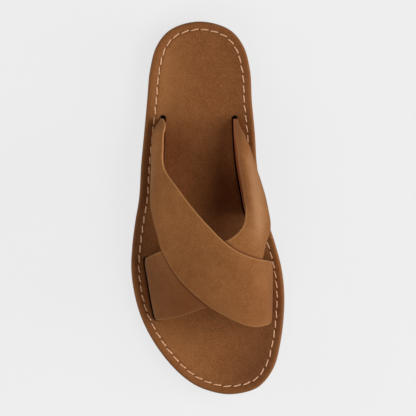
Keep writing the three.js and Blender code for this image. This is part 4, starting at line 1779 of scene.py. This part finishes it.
@dataclass(frozen=True)
class Lamp:
    """A soft light that looks at the sandal."""

    name: str
    place: tuple[float, float, float]
    length: float
    height: float
    power: float

    def build(self) -> None:
        """Makes the light."""
        light = bpy.data.lights.new(self.name, "AREA")
        light.shape = "RECTANGLE"
        light.size = self.length
        light.size_y = self.height
        light.energy = self.power
        made = bpy.data.objects.new(self.name, light)
        made.location = self.place
        made.rotation_euler = (-Vector(self.place)).to_track_quat("-Z", "Y").to_euler()
        bpy.context.scene.collection.objects.link(made)


@dataclass
class Studio:
    """Pale floor, soft lights round the sandal and the camera straight above it."""

    camera_height: float = 2.0
    reference_height: float = 18 * MM
    pixel: float = 0.764 * MM
    image_side: int = 416
    sensor: float = 36.0
    floor_side: float = 12.0
    floor_glow: float = 0.86
    floor_tone: float = 0.14
    ambient: float = 0.05
    lamps: tuple[Lamp, ...] = (
        Lamp("low_right", place=(1.96, 0.0, 0.42), length=1.0, height=1.0, power=33.0),
        Lamp("high_right", place=(1.08, -0.15, 1.60), length=2.2, height=0.8, power=21.0),
        Lamp("toe", place=(-0.60, -1.30, 1.40), length=1.8, height=0.8, power=13.0),
        Lamp("low_left", place=(-1.96, 0.0, 0.42), length=1.0, height=1.0, power=9.0),
        Lamp("low_heel", place=(-1.38, 1.38, 0.42), length=1.0, height=1.0, power=14.0),
    )

    def floor(self) -> bpy.types.Object:
        """The floor, with a glow that keeps its shadows pale."""
        half = self.floor_side / 2
        mesh = bpy.data.meshes.new("floor")
        corners = [(-half, -half, 0), (half, -half, 0), (half, half, 0), (-half, half, 0)]
        mesh.from_pydata(corners, [], [(0, 1, 2, 3)])
        graph = Graph("pale_floor")
        shade = graph.mix(graph.noise(0.8, 2.0), colour(236, 236, 236), colour(238, 238, 238))
        mesh.materials.append(
            graph.surface(
                {
                    "Base Color": (self.floor_tone, self.floor_tone, self.floor_tone, 1.0),
                    "Roughness": 0.9,
                    "Specular IOR Level": 0.0,
                    "Emission Color": shade,
                    "Emission Strength": self.floor_glow,
                }
            )
        )
        made = bpy.data.objects.new("floor", mesh)
        made.visible_diffuse = False
        made.visible_glossy = False
        bpy.context.scene.collection.objects.link(made)
        return made

    def camera(self) -> bpy.types.Object:
        """The camera, looking straight down with the heel at the top."""
        data = bpy.data.cameras.new("camera")
        data.sensor_width = self.sensor
        height = self.camera_height - self.reference_height
        data.lens = self.sensor * height / (self.pixel * self.image_side)
        made = bpy.data.objects.new("camera", data)
        made.location = (0, 0, self.camera_height)
        bpy.context.scene.collection.objects.link(made)
        bpy.context.scene.camera = made
        return made

    def build(self) -> None:
        """Sets up the whole studio."""
        self.camera()
        self.floor()
        for lamp in self.lamps:
            lamp.build()
        scene = bpy.context.scene
        scene.view_settings.view_transform = "Standard"
        world = bpy.data.worlds.new("studio")
        world.use_nodes = True
        back = world.node_tree.nodes["Background"]
        back.inputs["Color"].default_value = (1.0, 1.0, 1.0, 1.0)
        back.inputs["Strength"].default_value = self.ambient
        scene.world = world


UPPER_FOLDS = (
    Fold((0.16, 0.15), (0.30, 0.85), 6 * MM, 0.35 * MM),
    Fold((0.47, 0.10), (0.52, 0.80), 8 * MM, 0.40 * MM),
    Fold((0.72, 0.20), (0.78, 0.75), 9 * MM, 0.30 * MM),
)
LOWER_FOLDS = (
    Fold((0.16, 0.25), (0.24, 0.80), 7 * MM, 0.35 * MM),
    Fold((0.66, 0.30), (0.80, 0.60), 6 * MM, 0.30 * MM),
)
# Painted light and painted shade on the straps, in shares along and across each strap.
UPPER_TONES = (
    # Painted shade on the strap's inner end.
    LightPatch((0.66, 0.70), (0.92, 0.60), 26 * MM, -0.22),
    # Painted light near the outer end.
    LightPatch((0.02, 0.60), (0.14, 0.60), 14 * MM, 0.2),
)
LOWER_TONES = (
    # Painted highlight on the inner wall, which faces the lamps.
    LightPatch((0.74, 0.26), (0.60, 0.46), 14 * MM, 0.33),
    # Painted shade along the rear edge of the inner part.
    LightPatch((0.60, 0.0), (0.90, 0.0), 8 * MM, -0.62),
    # Painted shadow on the outer part, which the upper strap shades.
    LightPatch((0.05, 0.2), (0.25, 0.9), 24 * MM, -0.57),
)
# Painted light and painted shade on the footbed, in shares of the ball's width and stations.
FOOTBED_TONES = (
    # Painted shadow on the inner toe, in front of the upper strap's inner end.
    LightPatch((0.40, 0.80), (0.28, 0.94), 20 * MM, -0.35),
    # Faint painted shade on the inner side of the heel.
    LightPatch((0.22, 0.12), (0.24, 0.26), 14 * MM, -0.06),
    # Painted light on the outer side of the heel.
    LightPatch((-0.26, 0.12), (-0.30, 0.24), 18 * MM, 0.3),
    # Painted light on the outer side of the toe.
    LightPatch((-0.26, 0.82), (-0.12, 0.90), 18 * MM, 0.22),
    # Painted shadow along the outer edge beside the straps.
    LightPatch((-0.48, 0.36), (-0.46, 0.62), 9 * MM, -0.4),
    # Painted light that eases the shade under the straps.
    LightPatch((0.10, 0.42), (0.13, 0.50), 12 * MM, 0.25),
)
PLAY = {
    ("upper_strap", Side.OUTER): {"play_under": 1.4 * MM, "end_room": 2.6 * MM},
    ("upper_strap", Side.INNER): {"end_room": 0.9 * MM},
    ("lower_strap", Side.OUTER): {"play_over": 2.0 * MM, "play_under": 0.3 * MM, "end_room": 0.7 * MM},
    ("lower_strap", Side.INNER): {"play_under": 1.1 * MM, "end_room": 2.6 * MM},
}


def main() -> None:
    """Builds the sandal piece by piece and sets up the studio."""
    logging.basicConfig(level=logging.INFO, format="%(name)s: %(message)s")
    form = SoleForm()
    path = StitchPath(form)
    foot = FootForm(form)
    straps = {"upper_strap": UPPER_STRAP, "lower_strap": LOWER_STRAP}
    slots = [
        Slot(foot, side, row.rear_station, row.front_station, **PLAY[name, side])
        for name, rows in straps.items()
        for side, row in ((Side.OUTER, rows[0]), (Side.INNER, rows[-1]))
    ]
    footbed = Footbed(form, path, slots)
    lower = Strap("lower_strap", LOWER_STRAP, foot, LOWER_FOLDS, LOWER_TONES)
    upper = Strap("upper_strap", UPPER_STRAP, foot, UPPER_FOLDS, UPPER_TONES, over=lower)
    lower.beneath = upper
    for piece in (footbed, Stitching(path, footbed.top), Outsole(form, path, slots), lower, upper):
        made = piece.dress()
        LOG.info("%s: %d faces", made.name, len(made.data.polygons))
    Studio().build()


if __name__ == "__main__":
    main()
